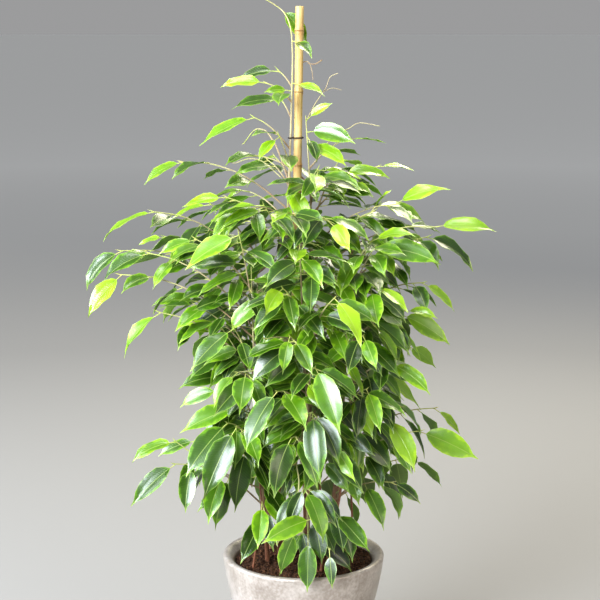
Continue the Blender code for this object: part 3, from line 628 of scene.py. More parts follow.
filling = {
    "highest": 0.61,  # m above the rim: shoots that end higher get no more leaves
    "nearStem": (0.24, 0.13),  # shares of a shoot for two more leaves near its stem
    "inner": {"stem_leader": (250, 590, 13), "stem_second": (150, 590, 15), "stem_front": (120, 400, 12),
              "stem_front_right": (130, 430, 12), "stem_front_left": (120, 420, 12),
              "stem_back_right": (70, 460, 9), "stem_back": (60, 470, 9), "stem_back_left": (70, 440, 9)},
    "innerReach": (55, 110),  # mm
    "innerRise": (18, 40),
    "innerLeaves": 4,
    "innerTurn": 137.5,  # degrees from one inner shoot to the next
    # Leaves straight on a stem that hide the cane and the bare feet: height, and how far each reaches
    "cover": {
        "stem_leader": [
            (610, (36, -34, -50)), (572, (30, -40, -58)), (534, (34, -38, -60)), (496, (30, -44, -58)),
            (455, (32, -42, -60)), (415, (36, -44, -56)), (375, (34, -40, -62)), (335, (38, -42, -58)),
            (296, (40, -40, -60)), (258, (42, -40, -56)),
        ],
        "stem_second": [
            (585, (-26, -48, -44)), (540, (-12, -52, -52)), (500, (-24, -50, -50)), (452, (-14, -54, -52)),
            (405, (-24, -50, -54)), (360, (-14, -52, -56)), (310, (-26, -52, -52)),
        ],
        "stem_front_left": [
            (132, (2, -46, -50)), (118, (-26, -36, -50)), (104, (18, -44, -48)), (92, (-2, -48, -42)),
            (80, (-22, -42, -40)), (70, (20, -44, -36)),
        ],
    },
    # The dense bush without its outer shoots: height above the rim, and how far it reaches left and right
    "outline": ((0, 45, 60), (57, 60, 100), (115, 85, 135), (157, 145, 150), (200, 165, 190),
                (330, 175, 195), (475, 230, 220), (548, 180, 185), (620, 105, 110), (700, 60, 60)),
}


def insideBush(leaf):
    heights, lefts, rights = zip(*filling["outline"])
    for place in (0.0, 0.5, 1.0):
        x, y, z = midribAt(leaf, leaf["petiole"] + place * leaf["blade"])[0] * 1000
        height = z - plant["rim"] * 1000
        left, right = np.interp(height, heights, lefts), np.interp(height, heights, rights)
        if height < 0 or (x / (left if x < 0 else right)) ** 2 + (2 * y / (left + right)) ** 2 > 1:
            return False
    return True


def fillShoot(stem, shoot, shares):
    for number, share in enumerate(shares, start=shoot["leaves"]):
        leaf = growLeaf(shoot, number, share)
        if leaf and insideBush(leaf):
            stem["leaves"].append(leaf)


def fillBush(bush):
    first, last = leafRule["span"]
    for name, stem in bush.items():
        for shoot in list(stem["shoots"]):
            if len(shoot["points"]) > 1 and shoot["points"][-1].z < plant["rim"] + filling["highest"]:
                gaps = max(1, shoot["leaves"] - 1)
                shares = [last - (last - first) * (k + 0.5) / gaps for k in range(shoot["leaves"] - 1)]
                fillShoot(stem, shoot, shares + list(filling["nearStem"]))
        low, high, count = filling["inner"][name]
        rng = random.Random(f"{plant['seed']} {name} inner")
        turn = rng.uniform(0, 360)
        for k in range(count):
            height = low + (high - low) * (k + rng.uniform(0.2, 0.8)) / count
            turn += filling["innerTurn"]
            angle = math.radians(turn)
            reach = rng.uniform(*filling["innerReach"])
            start = pointAtHeight(*stem["route"], plant["rim"] + height * 0.001)[0]
            end = (start.x * 1000 + reach * math.cos(angle), start.y * 1000 + reach * math.sin(angle),
                   height + rng.uniform(*filling["innerRise"]))
            shoot = growShoot(bush, name, f"{name}_inner{k}", height, end, None, 0)
            if shoot:
                stem["shoots"].append(shoot)
                gaps = filling["innerLeaves"] - 1
                fillShoot(stem, shoot, [last - (last - first) * j / gaps for j in range(gaps + 1)])
        for k, (height, reach) in enumerate(filling["cover"].get(name, [])):
            leaf = growLeaf(growShoot(bush, name, f"{name}_cover{k}", height, None, reach, 0), 0, 0.0)
            if leaf:
                stem["leaves"].append(leaf)


fillBush(bush)
print(sum(len(stem["leaves"]) for stem in bush.values()), "leaves in all")


# Leaf materials. A point of a leaf knows its place on the blade in mm (across, along, half width there)
# and its leaf's age and a random number.

leafColours = {
    "blade": [  # from old to young
        (0.0, "#213B07"), (0.25, "#3B620A"), (0.5, "#5E8E10"), (0.72, "#83B017"), (0.9, "#98C01A"),
        (1.0, "#A8CC22"),
    ],
    "band": 0.32,  # how much younger the margin is than the middle
    "bandWidth": (9.5, 15.0),  # mm, where it starts to fade and where it ends, with half of bandUneven added
    "bandUneven": 20.0,  # mm, how far it comes in and goes out
    "marks": {  # colour, share, and where each starts to fade and ends, in mm
        "vein": ("#AFC566", 0.05, (0.0, 0.6)),
        "edge": ("#CBDD78", 0.5, (0.2, 0.9)),
        "midrib": ("#AFC566", 0.6, (0.2, 0.9)),
    },
    "veinSpacing": 3.8,  # mm
    "veinSlant": -0.55,
    "veinWander": 2.5,
    "scales": {"drift": 90.0, "blots": 55.0, "grain": 260.0},  # 1/m: patches of about 11, 18 and 4 mm
    "blotAge": 0.3,  # how much older or younger a blot may be
    "roughSpread": 0.14,  # how much rougher one leaf may be than another
    "leafTone": (0.85, 0.3),  # the darkest leaf, and how much lighter the lightest is
    "under": "#9BB56F",
    "translucent": 0.27,
    "lit": {"Value": 1.4, "Saturation": 1.1},  # the colour of light that comes through
    "petiole": [(0.3, "#B9B06C"), (0.5, "#B5BE68"), (0.7, "#9DB252")],
}
leafSkins = {
    "leaf_upper_skin": {"gloss": 1.0, "wax": 0.6, "rough": 0.26, "paler": 0.0, "midrib": -1.2, "veins": -0.5},
    "leaf_underside": {"gloss": 0.4, "wax": 0.0, "rough": 0.52, "paler": 0.5, "midrib": 1.6, "veins": 0.8},
}


def makeLeafMaterial(name):
    # Leaf skin: waxy and glossy above, matt and paler below, thin enough that light from behind glows
    skin = leafSkins[name]
    values = {"Specular IOR Level": skin["gloss"], "Coat Weight": skin["wax"], "Coat Roughness": 0.2}
    look, tree, shader = newMaterial(name, {"IOR": 1.45, **values})
    spot = addNode(tree, "Attribute", {"attribute_name": "leafSpot"}, out="Vector")
    life = addNode(tree, "Attribute", {"attribute_name": "leafLife"}, out="Vector")
    sideways, along, half = addNode(tree, "SeparateXYZ", links={0: spot}).node.outputs
    age, seed = addNode(tree, "SeparateXYZ", links={0: life}).node.outputs[:2]
    place = addNode(tree, "TexCoord", out="Object")
    drift, blots, grain = (
        addNode(tree, "TexNoise", {"Scale": leafColours["scales"][part], "Detail": 2.0}, {"Vector": place})
        for part in ("drift", "blots", "grain")
    )
    across = addNode(tree, "Math", {"operation": "ABSOLUTE"}, {0: sideways})
    toEdge = addNode(tree, "Math", {"operation": "SUBTRACT"}, {0: half, 1: across})
    fromEdge = addNode(tree, "Math", {**timesPlus, 1: leafColours["bandUneven"]}, {0: drift, 2: toEdge})
    slant = addNode(tree, "Math", {**timesPlus, 1: leafColours["veinSlant"]}, {0: across, 2: along})
    slant = addNode(tree, "Math", {**timesPlus, 1: leafColours["veinWander"]}, {0: drift, 2: slant})
    repeat = addNode(tree, "Math", {"operation": "PINGPONG", 1: leafColours["veinSpacing"] / 2}, {0: slant})
    fade = {"interpolation_type": "SMOOTHSTEP", "To Min": 1.0, "To Max": 0.0}

    def shareOf(distance, full, gone):
        return addNode(tree, "MapRange", {**fade, "From Min": full, "From Max": gone}, {"Value": distance})

    band = shareOf(fromEdge, *leafColours["bandWidth"])
    most = leafColours["blotAge"]
    uneven = addNode(tree, "Math", {**timesPlus, 1: most, 2: -most / 2}, {0: blots})
    older = addNode(tree, "Math", {"operation": "ADD"}, {0: uneven, 1: age})
    shown = addNode(tree, "Math", {**timesPlus, 1: leafColours["band"]}, {0: band, 2: older})
    colour = addNode(tree, "ValToRGB", {"stops": leafColours["blade"]}, {"Fac": shown})
    marks = {}
    for part, distance in (("vein", repeat), ("edge", toEdge), ("midrib", across)):
        pale, share, reach = leafColours["marks"][part]
        marks[part] = shareOf(distance, *reach)
        factor = addNode(tree, "Math", {"operation": "MULTIPLY", 1: share}, {0: marks[part]})
        colour = addNode(tree, "Mix", {**rgba, 7: linear(pale)}, {0: factor, 6: colour}, out=2)
    if skin["paler"]:
        pale = {**rgba, 0: skin["paler"], 7: linear(leafColours["under"])}
        colour = addNode(tree, "Mix", pale, {6: colour}, out=2)
    darkest, lighter = leafColours["leafTone"]
    tone = addNode(tree, "Math", {**timesPlus, 1: lighter, 2: darkest}, {0: seed})
    colour = addNode(tree, "HueSaturation", links={"Color": colour, "Value": tone})
    rougher = {**timesPlus, 1: leafColours["roughSpread"], 2: skin["rough"]}
    rough = addNode(tree, "Math", rougher, {0: seed})
    relief = addNode(tree, "Math", {**timesPlus, 1: skin["midrib"]}, {0: marks["midrib"], 2: grain})
    relief = addNode(tree, "Math", {**timesPlus, 1: skin["veins"]}, {0: marks["vein"], 2: relief})
    bump = addNode(tree, "Bump", {"Strength": 0.4, "Distance": 0.0004}, {"Height": relief})
    feed(tree, shader, {"Base Color": colour, "Roughness": rough, "Normal": bump})
    lit = addNode(tree, "HueSaturation", leafColours["lit"], {"Color": colour})
    glow = addNode(tree, "BsdfTranslucent", links={"Color": lit})
    both = addNode(tree, "MixShader", {0: leafColours["translucent"]}, {1: shader.outputs[0], 2: glow})
    feed(tree, tree.nodes["Material Output"], {"Surface": both})
    return look


def makePetioleMaterial():
    # Petiole and bud: soft green skin, satin, a little browner in patches
    look, tree, shader = newMaterial("petiole_skin", {"Roughness": 0.45, "IOR": 1.45})
    mottle(tree, shader, 90.0, 2.0, leafColours["petiole"], (0.3, 0.0002))
    return look


leafTop = makeLeafMaterial("leaf_upper_skin")
leafUnder = makeLeafMaterial("leaf_underside")
petioleGreen = makePetioleMaterial()


# Leaf: one is modelled flat, 1 long, and each copy is bent to its own pose

leafLook = {
    "rows": (0.0, 0.06, 0.19, 0.38, 0.57, 0.73, 0.86, 1.0),
    "outline": (0.0, 0.45, 0.88, 1.0, 0.90, 0.58, 0.15, 0.0),  # of the widest half width
    "width": 0.43,  # of the length
    "narrower": 0.2,  # some leaves are up to this share narrower
    "columns": 4,
    "thickness": 0.0055,  # of the length: about 0.4 mm
    "belly": (0.03, 0.12),  # how far each half bulges up
    "wave": (0.014, 0.046),  # of the length, at the margin
    "waves": (1.2, 2.4),
    "halvesApart": (1.2, 4.2),  # radians between the waves of a blade's two halves
    "sickle": 0.05,  # of the length: how far the tip bends sideways
    "twist": 34,  # degrees, to the tip
    "tipCurl": (0.0, 0.05),
    "curlFrom": 0.75,  # of the length
    "petioleRadii": (0.00085, 0.00062),
    "petioleSides": 5,
    "budLength": (0.006, 0.010),
    "budRadii": (0.0009, 0.0008, 0.0001),
    "budShares": (-0.1, 0.35, 1.0),
    "budRise": 0.25,
    "budLife": (0.7, 0.5, 0.0),  # age and tone
    "petioleShares": (0.0, 0.35, 0.7, 1.04),  # the last point is just inside the blade
}


def modelLeaf():
    deselectAll()
    rows = leafLook["rows"]
    last = len(rows) - 1
    bpy.ops.mesh.primitive_grid_add(x_subdivisions=leafLook["columns"], y_subdivisions=last, size=1)
    leaf = bpy.context.object
    bpy.ops.object.mode_set(mode="EDIT")
    bm = bmesh.from_edit_mesh(leaf.data)
    numbers = {v.index: round((v.co.y + 0.5) * last) for v in bm.verts}  # which row each point is in
    for k, (place, half) in enumerate(zip(rows, leafLook["outline"])):  # each row goes to its place and width
        bpy.ops.mesh.select_all(action="DESELECT")
        for v in bm.verts:
            v.select_set(numbers[v.index] == k)
        bmesh.update_edit_mesh(leaf.data)
        here = k / last - 0.5
        width = max(half * leafLook["width"], 1e-5)
        bpy.ops.transform.resize(value=(width, 1, 1), center_override=(0, here, 0))
        bpy.ops.transform.translate(value=(0, place - here, 0))
        bm = bmesh.from_edit_mesh(leaf.data)
    bpy.ops.mesh.select_all(action="SELECT")
    bpy.ops.mesh.remove_doubles(threshold=0.0005)
    bpy.ops.object.mode_set(mode="OBJECT")
    leaf.data.materials.append(leafTop)
    leaf.data.materials.append(leafUnder)
    wall = leaf.modifiers.new("wall", "SOLIDIFY")
    wall.thickness = leafLook["thickness"]
    wall.offset = 0.0
    wall.material_offset = 1
    bpy.ops.object.modifier_apply(modifier="wall")
    return leaf


def bendLeaf(leaf, model, rng):  # the model's points and their places on the blade, at this leaf's pose
    x, y, z = model.T
    blade = leaf["blade"]
    half = np.interp(y, leafLook["rows"], leafLook["outline"]) * leafLook["width"] / 2
    edge = np.divide(np.abs(x), half, out=np.zeros_like(x), where=half > 1e-4).clip(0, 1)
    curve = -leaf["bend"] / (leaf["petiole"] + blade)
    pitch = leaf["pitch"] + curve * (leaf["petiole"] + y * blade)
    forward = (np.sin(pitch) - math.sin(leaf["pitch"])) / curve
    rise = (math.cos(leaf["pitch"]) - np.cos(pitch)) / curve
    ahead = np.array((math.cos(leaf["heading"]), math.sin(leaf["heading"]), 0.0))
    side = np.array((math.sin(leaf["heading"]), -math.cos(leaf["heading"]), 0.0))
    up = np.array((0.0, 0.0, 1.0))
    points = np.array(leaf["root"]) + np.outer(forward, ahead) + np.outer(rise, up)
    normals = np.cross(side, np.outer(np.cos(pitch), ahead) + np.outer(np.sin(pitch), up))
    roll = leaf["roll"] + math.radians(rng.uniform(-1, 1) * leafLook["twist"]) * y
    rolledSides = np.outer(np.cos(roll), side) + normals * np.sin(roll)[:, None]
    rolledNormals = normals * np.cos(roll)[:, None] - np.outer(np.sin(roll), side)
    narrow = 1 - leafLook["narrower"] * rng.random() ** 2
    x, half = x * narrow, half * narrow
    belly = rng.uniform(*leafLook["belly"]) * 4 * edge * (1 - edge) * half
    start = rng.uniform(0, math.tau) + np.where(x > 0, rng.uniform(*leafLook["halvesApart"]), 0.0)
    wave = np.sin(math.tau * rng.uniform(*leafLook["waves"]) * y + start)
    wave *= rng.uniform(*leafLook["wave"]) * edge**2 * np.sin(np.pi * y) ** 0.5
    curled = np.clip((y - leafLook["curlFrom"]) / (1 - leafLook["curlFrom"]), 0, 1)
    curl = -rng.uniform(*leafLook["tipCurl"]) * curled**2
    out = (x * math.cos(leaf["fold"]) + rng.uniform(-1, 1) * leafLook["sickle"] * y**2.5) * blade
    lift = (np.abs(x) * math.sin(leaf["fold"]) + belly + wave + curl + z) * blade
    placed = points + rolledSides * out[:, None] + rolledNormals * lift[:, None]
    return placed, np.stack([x, y, half], axis=1) * blade * 1000


def petioleOf(leaf):
    shares = leafLook["petioleShares"]
    points = [midribAt(leaf, leaf["petiole"] * share)[0] for share in shares]
    wide, thin = leafLook["petioleRadii"]
    return tube(points, [wide + (thin - wide) * share for share in shares], leafLook["petioleSides"])


def budOf(shoot):  # the pointed bud at a shoot's end
    rng = random.Random(f"{plant['seed']} bud {shoot['name']}")
    end = shoot["points"][-1]
    out = (end - shoot["points"][-2]).normalized() + Vector((0, 0, leafLook["budRise"]))
    length = rng.uniform(*leafLook["budLength"])
    points = [end + out * length * share for share in leafLook["budShares"]]
    return tube(points, leafLook["budRadii"], leafLook["petioleSides"])


# Ages, from 0 for an old dark leaf to 1 for a young lime one

ages = {
    "old": (0.0, 0.5),
    "tip": (0.32, 0.86),
    "topYounger": 0.2,  # more at the crown's top than at the rim
    "single": {  # the last leaf of these shoots
        "leader_1": 0.2, "leader_2": 0.78, "leader_3": 0.5, "leader_4": 0.15, "leader_5": 0.8,
        "leader_6": 0.3, "leader_7": 0.58, "leader_10": 0.6, "leader_12": 0.75, "leader_13": 0.72,
        "second_0": 0.85, "second_1": 0.5, "second_2": 0.75, "second_3": 0.12, "second_4": 0.75,
        "second_6": 0.8, "second_10": 0.8, "second_11": 0.85, "second_12": 0.78, "second_13": 0.75,
        "second_14": 0.8, "front_0": 0.05, "front_2": 0.6, "front_3": 0.3, "front_6": 0.15, "front_7": 0.2,
        "front_8": 0.2, "front_11": 1.0, "front_12": 0.82, "front_13": 0.75,
        "front_left_1": 0.2, "front_left_2": 0.1, "front_left_4": 0.2, "front_left_5": 0.25,
        "front_left_7": 0.3, "front_left_8": 0.35, "front_left_10": 0.3, "front_left_12": 0.25,
        "front_left_13": 0.92, "front_left_14": 0.2, "front_left_15": 0.6, "front_right_0": 0.3,
        "front_right_1": 0.1, "front_right_7": 0.8, "front_right_9": 0.45, "front_right_10": 0.76,
        "back_left_3": 0.2, "back_left_5": 0.8, "back_right_5": 0.1,
    },
}


def ageOf(leaf, rng):
    first = leaf["number"] == 0
    age = rng.uniform(*ages["tip" if first else "old"])
    age = min(1.0, age + ages["topYounger"] * (1 - lowness(leaf["root"])) ** 2)
    return ages["single"].get(leaf["shoot"]["name"].removeprefix("stem_"), age) if first else age


def makeFoliage(stemName, stem, model):
    modelPoints = np.array([v.co for v in model.data.vertices])
    modelFaces = [tuple(p.vertices) for p in model.data.polygons]
    modelSlots = [p.material_index for p in model.data.polygons]
    verts, faces, slots, spots, lives = [], [], [], [], []

    def addGreen(part, life, partSlots=None, spot=None):  # a petiole or bud has no slots or spot of its own
        addPart(verts, faces, *part)
        slots.extend(partSlots or [2] * len(part[1]))
        spots.extend(spot or [(0.0, 0.0, 0.0)] * len(part[0]))
        lives.extend([life] * len(part[0]))

    for leaf in stem["leaves"]:
        rng = random.Random(f"{plant['seed']} look {leaf['shoot']['name']} {leaf['number']}")
        life = (ageOf(leaf, rng), rng.random(), 0.0)
        placed, spot = bendLeaf(leaf, modelPoints, rng)
        addGreen((placed.tolist(), modelFaces), life, modelSlots, spot.tolist())
        addGreen(petioleOf(leaf), life)
    for shoot in stem["shoots"]:
        if len(shoot["points"]) > 1:
            addGreen(budOf(shoot), leafLook["budLife"])
    piece = newPiece(stemName.replace("stem", "foliage"), verts, faces, [leafTop, leafUnder, petioleGreen])
    piece.data.polygons.foreach_set("material_index", slots)
    pushAttribute(piece.data, "leafSpot", spots)
    pushAttribute(piece.data, "leafLife", lives)
    smoothShade(piece, 55)
    return piece


leafModel = modelLeaf()
foliage = {name: makeFoliage(name, stem, leafModel) for name, stem in bush.items()}
bpy.data.objects.remove(leafModel)
print("foliage made:", sum(len(piece.data.polygons) for piece in foliage.values()), "faces")


# Wood: the stems and their shoots

woodLook = {
    "stemSides": 10,
    "shootSides": 6,
    "shootRadii": (0.0014, 0.0008),
    "stemShare": 0.92,  # of the solid stem's radius
    "cut": 0.2,  # how much of each run the rounded corners take
    "colours": [(0.0, "#B4BC6C"), (0.2, "#B3A880"), (0.5, "#998264"), (0.8, "#855840"), (1.0, "#794A33")],
    "brownFrom": 1.1,  # the foot's radius of a solid stem, divided by the radius from which bark is all brown
    "greenTip": 1.6,  # the higher, the more of a stem's tip is still green
    "twigSteps": 3,
    "shootAge": 0.5,  # how woody a shoot is at its stem
    "patches": 70.0,  # 1/m: patches of about 14 mm
    "uneven": 0.5,  # how much older or younger a patch may be
    "cork": "#B8A284",
    "corkDots": 420.0,  # 1/m: a dot every 2.4 mm
    "corkSize": {"From Min": 0.1, "From Max": 0.28, "To Min": 0.5, "To Max": 0.0},
}


twigs = {  # points in mm, with heights above the rim, the radii at its ends, and how woody it is
    "stem_leader": [
        ([(-10, 10, 742), (-6, 13, 752), (0, 12, 759), (8, 10, 758), (12, 8, 747), (14, 6, 733)],
         (0.9, 0.5), 0.45),
        ([(6, 10, 757), (17, 8, 756), (27, 6, 762)], (0.5, 1.1), 0.6),
        ([(-34, -4, 588), (-62, -2, 612), (-83, -4, 616), (-101, -6, 610), (-109, -6, 611)],
         (0.9, 0.6), 0.15),
    ],
    "stem_second": [
        ([(4, 3, 672), (15, 2, 694), (24, 0, 708), (33, -2, 721), (39, -2, 737), (51, -4, 743)],
         (0.9, 0.5), 0.3),
        ([(29, -1, 715), (42, -2, 721), (56, 0, 718)], (0.5, 0.4), 0.3),
        ([(30, 3, 632), (47, 2, 650), (68, 4, 661), (84, 6, 669), (114, 6, 664)], (1.0, 0.5), 0.2),
    ],
    "stem_front": [
        ([(4, -62, 218), (-6, -96, 205), (-11, -120, 180), (-7, -124, 153), (-9, -124, 123), (-11, -122, 97),
          (-22, -118, 76), (-31, -112, 63), (-41, -104, 46)], (1.3, 0.7), 0.1),
        ([(-36, -70, -12), (-33, -72, 27), (-26, -68, 70), (-10, -60, 130), (6, -58, 180)], (2.0, 1.4), 0.95),
    ],
    "stem_front_right": [
        ([(50, -62, -12), (44, -66, 41), (28, -62, 84), (24, -54, 150)], (2.2, 1.5), 1.0),
        ([(26, -64, -12), (34, -70, 43), (50, -68, 84), (62, -52, 160)], (2.4, 1.6), 0.9),
        ([(62, -50, -12), (64, -54, 29), (74, -50, 75), (66, -44, 190)], (2.0, 1.4), 0.95),
    ],
    "stem_front_left": [
        ([(-78, -48, -12), (-72, -50, 29), (-64, -48, 74), (-70, -42, 170)], (2.1, 1.4), 0.95),
    ],
}


def makeBark():
    # Young bark: thin and smooth, pale brown with small corky dots, greener at the tips
    look, tree, shader = newMaterial("young_bark", {"Roughness": 0.6, "IOR": 1.45})
    wood = addNode(tree, "Attribute", {"attribute_name": "woodAge"}, out="Vector")
    age = addNode(tree, "SeparateXYZ", links={0: wood})
    place = addNode(tree, "TexCoord", out="Object")
    patches = addNode(tree, "TexNoise", {"Scale": woodLook["patches"], "Detail": 3.0}, {"Vector": place})
    most = woodLook["uneven"]
    uneven = addNode(tree, "Math", {**timesPlus, 1: most, 2: -most / 2}, {0: patches})
    older = addNode(tree, "Math", {"operation": "ADD"}, {0: uneven, 1: age})
    tint = addNode(tree, "ValToRGB", {"stops": woodLook["colours"]}, {"Fac": older})
    dots = addNode(tree, "TexVoronoi", {"Scale": woodLook["corkDots"]}, {"Vector": place})
    cork = addNode(tree, "MapRange", woodLook["corkSize"], {"Value": dots})
    colour = addNode(tree, "Mix", {**rgba, 7: linear(woodLook["cork"])}, {0: cork, 6: tint}, out=2)
    bump = addNode(tree, "Bump", {"Strength": 0.5, "Distance": 0.0003}, {"Height": patches})
    feed(tree, shader, {"Base Color": colour, "Normal": bump})
    return look


def roundedRoute(points, cut):  # each corner is cut twice, so that the route bends softly
    for turn in range(2):
        made = [points[0]]
        for a, b, c in zip(points, points[1:], points[2:]):
            made += [b.lerp(a, cut), b.lerp(c, cut)]
        points = made + [points[-1]]
    return points


def makeWood(stemName, stem, bark):
    verts, faces, ageRows = [], [], []

    def addTube(points, radii, woodAges, sides):
        addPart(verts, faces, *tube(points, radii, sides))
        ageRows.extend([(age, 0.0, 0.0) for age in woodAges for side in range(sides)])

    def sharesOf(points):
        return [k / (len(points) - 1) for k in range(len(points))]

    points, radii = stem["route"]
    route = roundedRoute(points, woodLook["cut"])
    stemRadii = [pointAtHeight(points, radii, p.z)[1] * woodLook["stemShare"] for p in route]
    thickness = [woodLook["brownFrom"] * radius / plant["stemRadius"] for radius in stemRadii]
    addTube(route, stemRadii, [min(1.0, t ** woodLook["greenTip"]) for t in thickness], woodLook["stemSides"])
    wide, thin = woodLook["shootRadii"]
    for shoot in stem["shoots"]:
        if len(shoot["points"]) > 1:
            route = roundedRoute(shoot["points"], woodLook["cut"])
            shootRadii = [wide + (thin - wide) * share for share in sharesOf(route)]
            shootAges = [woodLook["shootAge"] * (1 - share) for share in sharesOf(route)]
            addTube(route, shootRadii, shootAges, woodLook["shootSides"])
    for route, (first, last), woodAge in twigs.get(stemName, []):
        points = smoothRoute([aboveRim(*point) for point in route], woodLook["twigSteps"])
        twigRadii = [0.001 * (first + (last - first) * share) for share in sharesOf(points)]
        addTube(points, twigRadii, [woodAge] * len(points), woodLook["shootSides"])
    piece = newPiece(stemName.replace("stem", "wood"), verts, faces, [bark])
    pushAttribute(piece.data, "woodAge", ageRows)
    smoothShade(piece, 55)
    return piece


bark = makeBark()
for name, stem in bush.items():
    wood = makeWood(name, stem, bark)
    for piece in (wood, foliage[name]):
        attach(piece, "root")
        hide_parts(name)
print("stems and shoots made")


# Turned pieces are extruded ring by ring from a disc, along a profile of (radius, height)


def turnPiece(name, profile, sides, material):
    deselectAll()
    radius, height = profile[0]
    place = (0, 0, height)
    bpy.ops.mesh.primitive_circle_add(vertices=sides, radius=radius, fill_type="NGON", location=place)
    piece = bpy.context.object
    piece.name = name
    bpy.ops.object.transform_apply(location=True, rotation=False, scale=False)
    bpy.ops.object.mode_set(mode="EDIT")
    bpy.ops.mesh.select_all(action="SELECT")
    for nextRadius, nextHeight in profile[1:]:
        bpy.ops.mesh.extrude_region_move(TRANSFORM_OT_translate={"value": (0, 0, nextHeight - height)})
        scale = nextRadius / radius
        bpy.ops.transform.resize(value=(scale, scale, 1), center_override=(0, 0, nextHeight))
        radius, height = nextRadius, nextHeight
    bpy.ops.mesh.select_all(action="SELECT")
    bpy.ops.mesh.normals_make_consistent(inside=False)
    bpy.ops.object.mode_set(mode="OBJECT")
    piece.data.materials.append(material)
    return piece


# Pot

pot = {
    "rimRadius": 0.126,
    "footRadius": 0.062,
    "sideCurve": 1.4,
    "wall": 0.012,
    "floor": 0.016,
    "footBevel": 0.004,
    "lipRound": 0.005,
    "crestDrop": 0.0012,
    "slopeRadius": 0.1075,
    "slopeDrop": 0.011,
    "slopeShares": (0.4, 0.75),
    "disc": 0.03,  # radius of the disc that the turning starts from
    "sideRings": 16,
    "innerHeights": (0.205, 0.17, 0.13, 0.08),
    "innerStep": 0.0015,
    "floorRound": 0.008,
    "sides": 96,
    "glaze": [(0.3, "#958A7F"), (0.45, "#A99E93"), (0.58, "#BDB3A9"), (0.75, "#D2CAC3")],
    "gloss": {"From Min": 0.35, "From Max": 0.65, "To Min": 0.28, "To Max": 0.5},  # how rough the specks are
}


def potSideRadius(height):
    depth = (plant["rim"] - height) / plant["rim"]
    return pot["rimRadius"] - (pot["rimRadius"] - pot["footRadius"]) * depth ** pot["sideCurve"]


def potProfile():
    rim, bevel, lip = plant["rim"], pot["footBevel"], pot["lipRound"]
    outer = [(pot["disc"], 0.0), (pot["footRadius"] - bevel, 0.0)]
    for degrees in (30, 60):
        turn = math.radians(degrees)
        outer.append((pot["footRadius"] - bevel * (1 - math.sin(turn)), bevel * (1 - math.cos(turn))))
    outer += [(potSideRadius(z), z) for z in np.linspace(bevel, rim - lip, pot["sideRings"])]
    for degrees in range(15, 91, 15):
        turn = math.radians(degrees)
        outer.append((pot["rimRadius"] - lip * (1 - math.cos(turn)), rim - lip * (1 - math.sin(turn))))
    crest = (pot["rimRadius"] - 2 * lip, rim - pot["crestDrop"])
    slope = (pot["slopeRadius"], rim - pot["slopeDrop"])
    across, down = slope[0] - crest[0], slope[1] - crest[1]
    middle = [(crest[0] + across * t, crest[1] + down * t**1.5) for t in pot["slopeShares"]]
    widest = pot["slopeRadius"] - pot["innerStep"]
    inner = [(min(potSideRadius(z) - pot["wall"], widest), z) for z in pot["innerHeights"]]
    floor = [(potSideRadius(pot["disc"]) - pot["wall"] - pot["floorRound"], pot["floor"])]
    return outer + [crest] + middle + [slope] + inner + floor


def makeGlaze():
    # Glazed stoneware: a pearly glaze, glossy, with fine mottling and larger cloudy patches
    look, tree, shader = newMaterial(
        "pearly_glaze", {"IOR": 1.5, "Coat Weight": 0.6, "Coat Roughness": 0.16, "Metallic": 0.3}
    )
    place = addNode(tree, "TexCoord", out="Object")
    clouds = addNode(tree, "TexNoise", {"Scale": 16.0, "Detail": 4.0, "Roughness": 0.6}, {"Vector": place})
    specks = addNode(tree, "TexNoise", {"Scale": 230.0, "Detail": 3.0}, {"Vector": place})
    mottled = addNode(tree, "Math", {**timesPlus, 1: 0.45}, {0: specks, 2: clouds})
    centred = addNode(tree, "Math", {"operation": "SUBTRACT", 1: 0.2}, {0: mottled})
    tint = addNode(tree, "ValToRGB", {"stops": pot["glaze"]}, {"Fac": centred})
    rough = addNode(tree, "MapRange", pot["gloss"], {"Value": specks})
    bump = addNode(tree, "Bump", {"Strength": 0.25, "Distance": 0.0004}, {"Height": specks})
    feed(tree, shader, {"Base Color": tint, "Roughness": rough, "Normal": bump})
    return look


potPiece = turnPiece("glazed_pot", potProfile(), pot["sides"], makeGlaze())
smoothShade(potPiece, 50)
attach(potPiece, "root")
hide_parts("pot")
print("pot made")


# Soil

soil = {
    "drop": 0.012,
    "mound": 0.007,
    "edgeGap": 0.0006,
    "edgeRoom": 0.0015,  # for the lumps, besides the gap
    "underEdge": (0.004, 0.001),  # how far the foot and the side's top are inside the edge
    "side": 0.006,  # how far the side's top is below the edge
    "lumpsFrom": 0.001,  # below the edge: what is higher gets lumps
    "depth": 0.03,  # how deep this piece goes below the rim
    "disc": 0.03,  # radius of the disc that the turning starts from
    "sides": 120,
    "rings": 34,
    "lumps": ((14, 0.0030), (55, 0.0026), (160, 0.0018)),  # noise scale in 1/m and height in m
    "crumbs": 1700,
    "crumbSize": (0.0010, 0.0042),
    "crumbReach": 0.985,  # of the soil's radius
    "squash": (0.6, 1.3),
    "jitter": 0.25,
    "raised": 0.2,  # of its size: how far a crumb's middle is above the soil
    "fibres": 130,
    "fibreReach": (0.93, 0.97),  # of the soil's radius: where one may start and end
    "fibrePoints": 4,
    "fibreSides": 4,
    "fibreLength": (0.008, 0.026),
    "fibreRadius": (0.0003, 0.0007),
    "fibreLift": (0.0004, 0.0022),
    "fibreTurn": 0.7,
    "peat": [(0.3, "#21130B"), (0.5, "#3E2617"), (0.62, "#5C3D26"), (0.75, "#84603F")],
}


def soilHeight(radius):
    return plant["rim"] - soil["drop"] + soil["mound"] * (1 - (radius / pot["slopeRadius"]) ** 2)


def makeSoilMaterial():
    # Peat-based potting soil: dark, moist and matt, with paler fibres of bark
    look, tree, shader = newMaterial("peat_soil", {"Roughness": 0.9, "Specular IOR Level": 0.3})
    mottle(tree, shader, 320.0, 4.0, soil["peat"], (0.8, 0.0008))
    return look


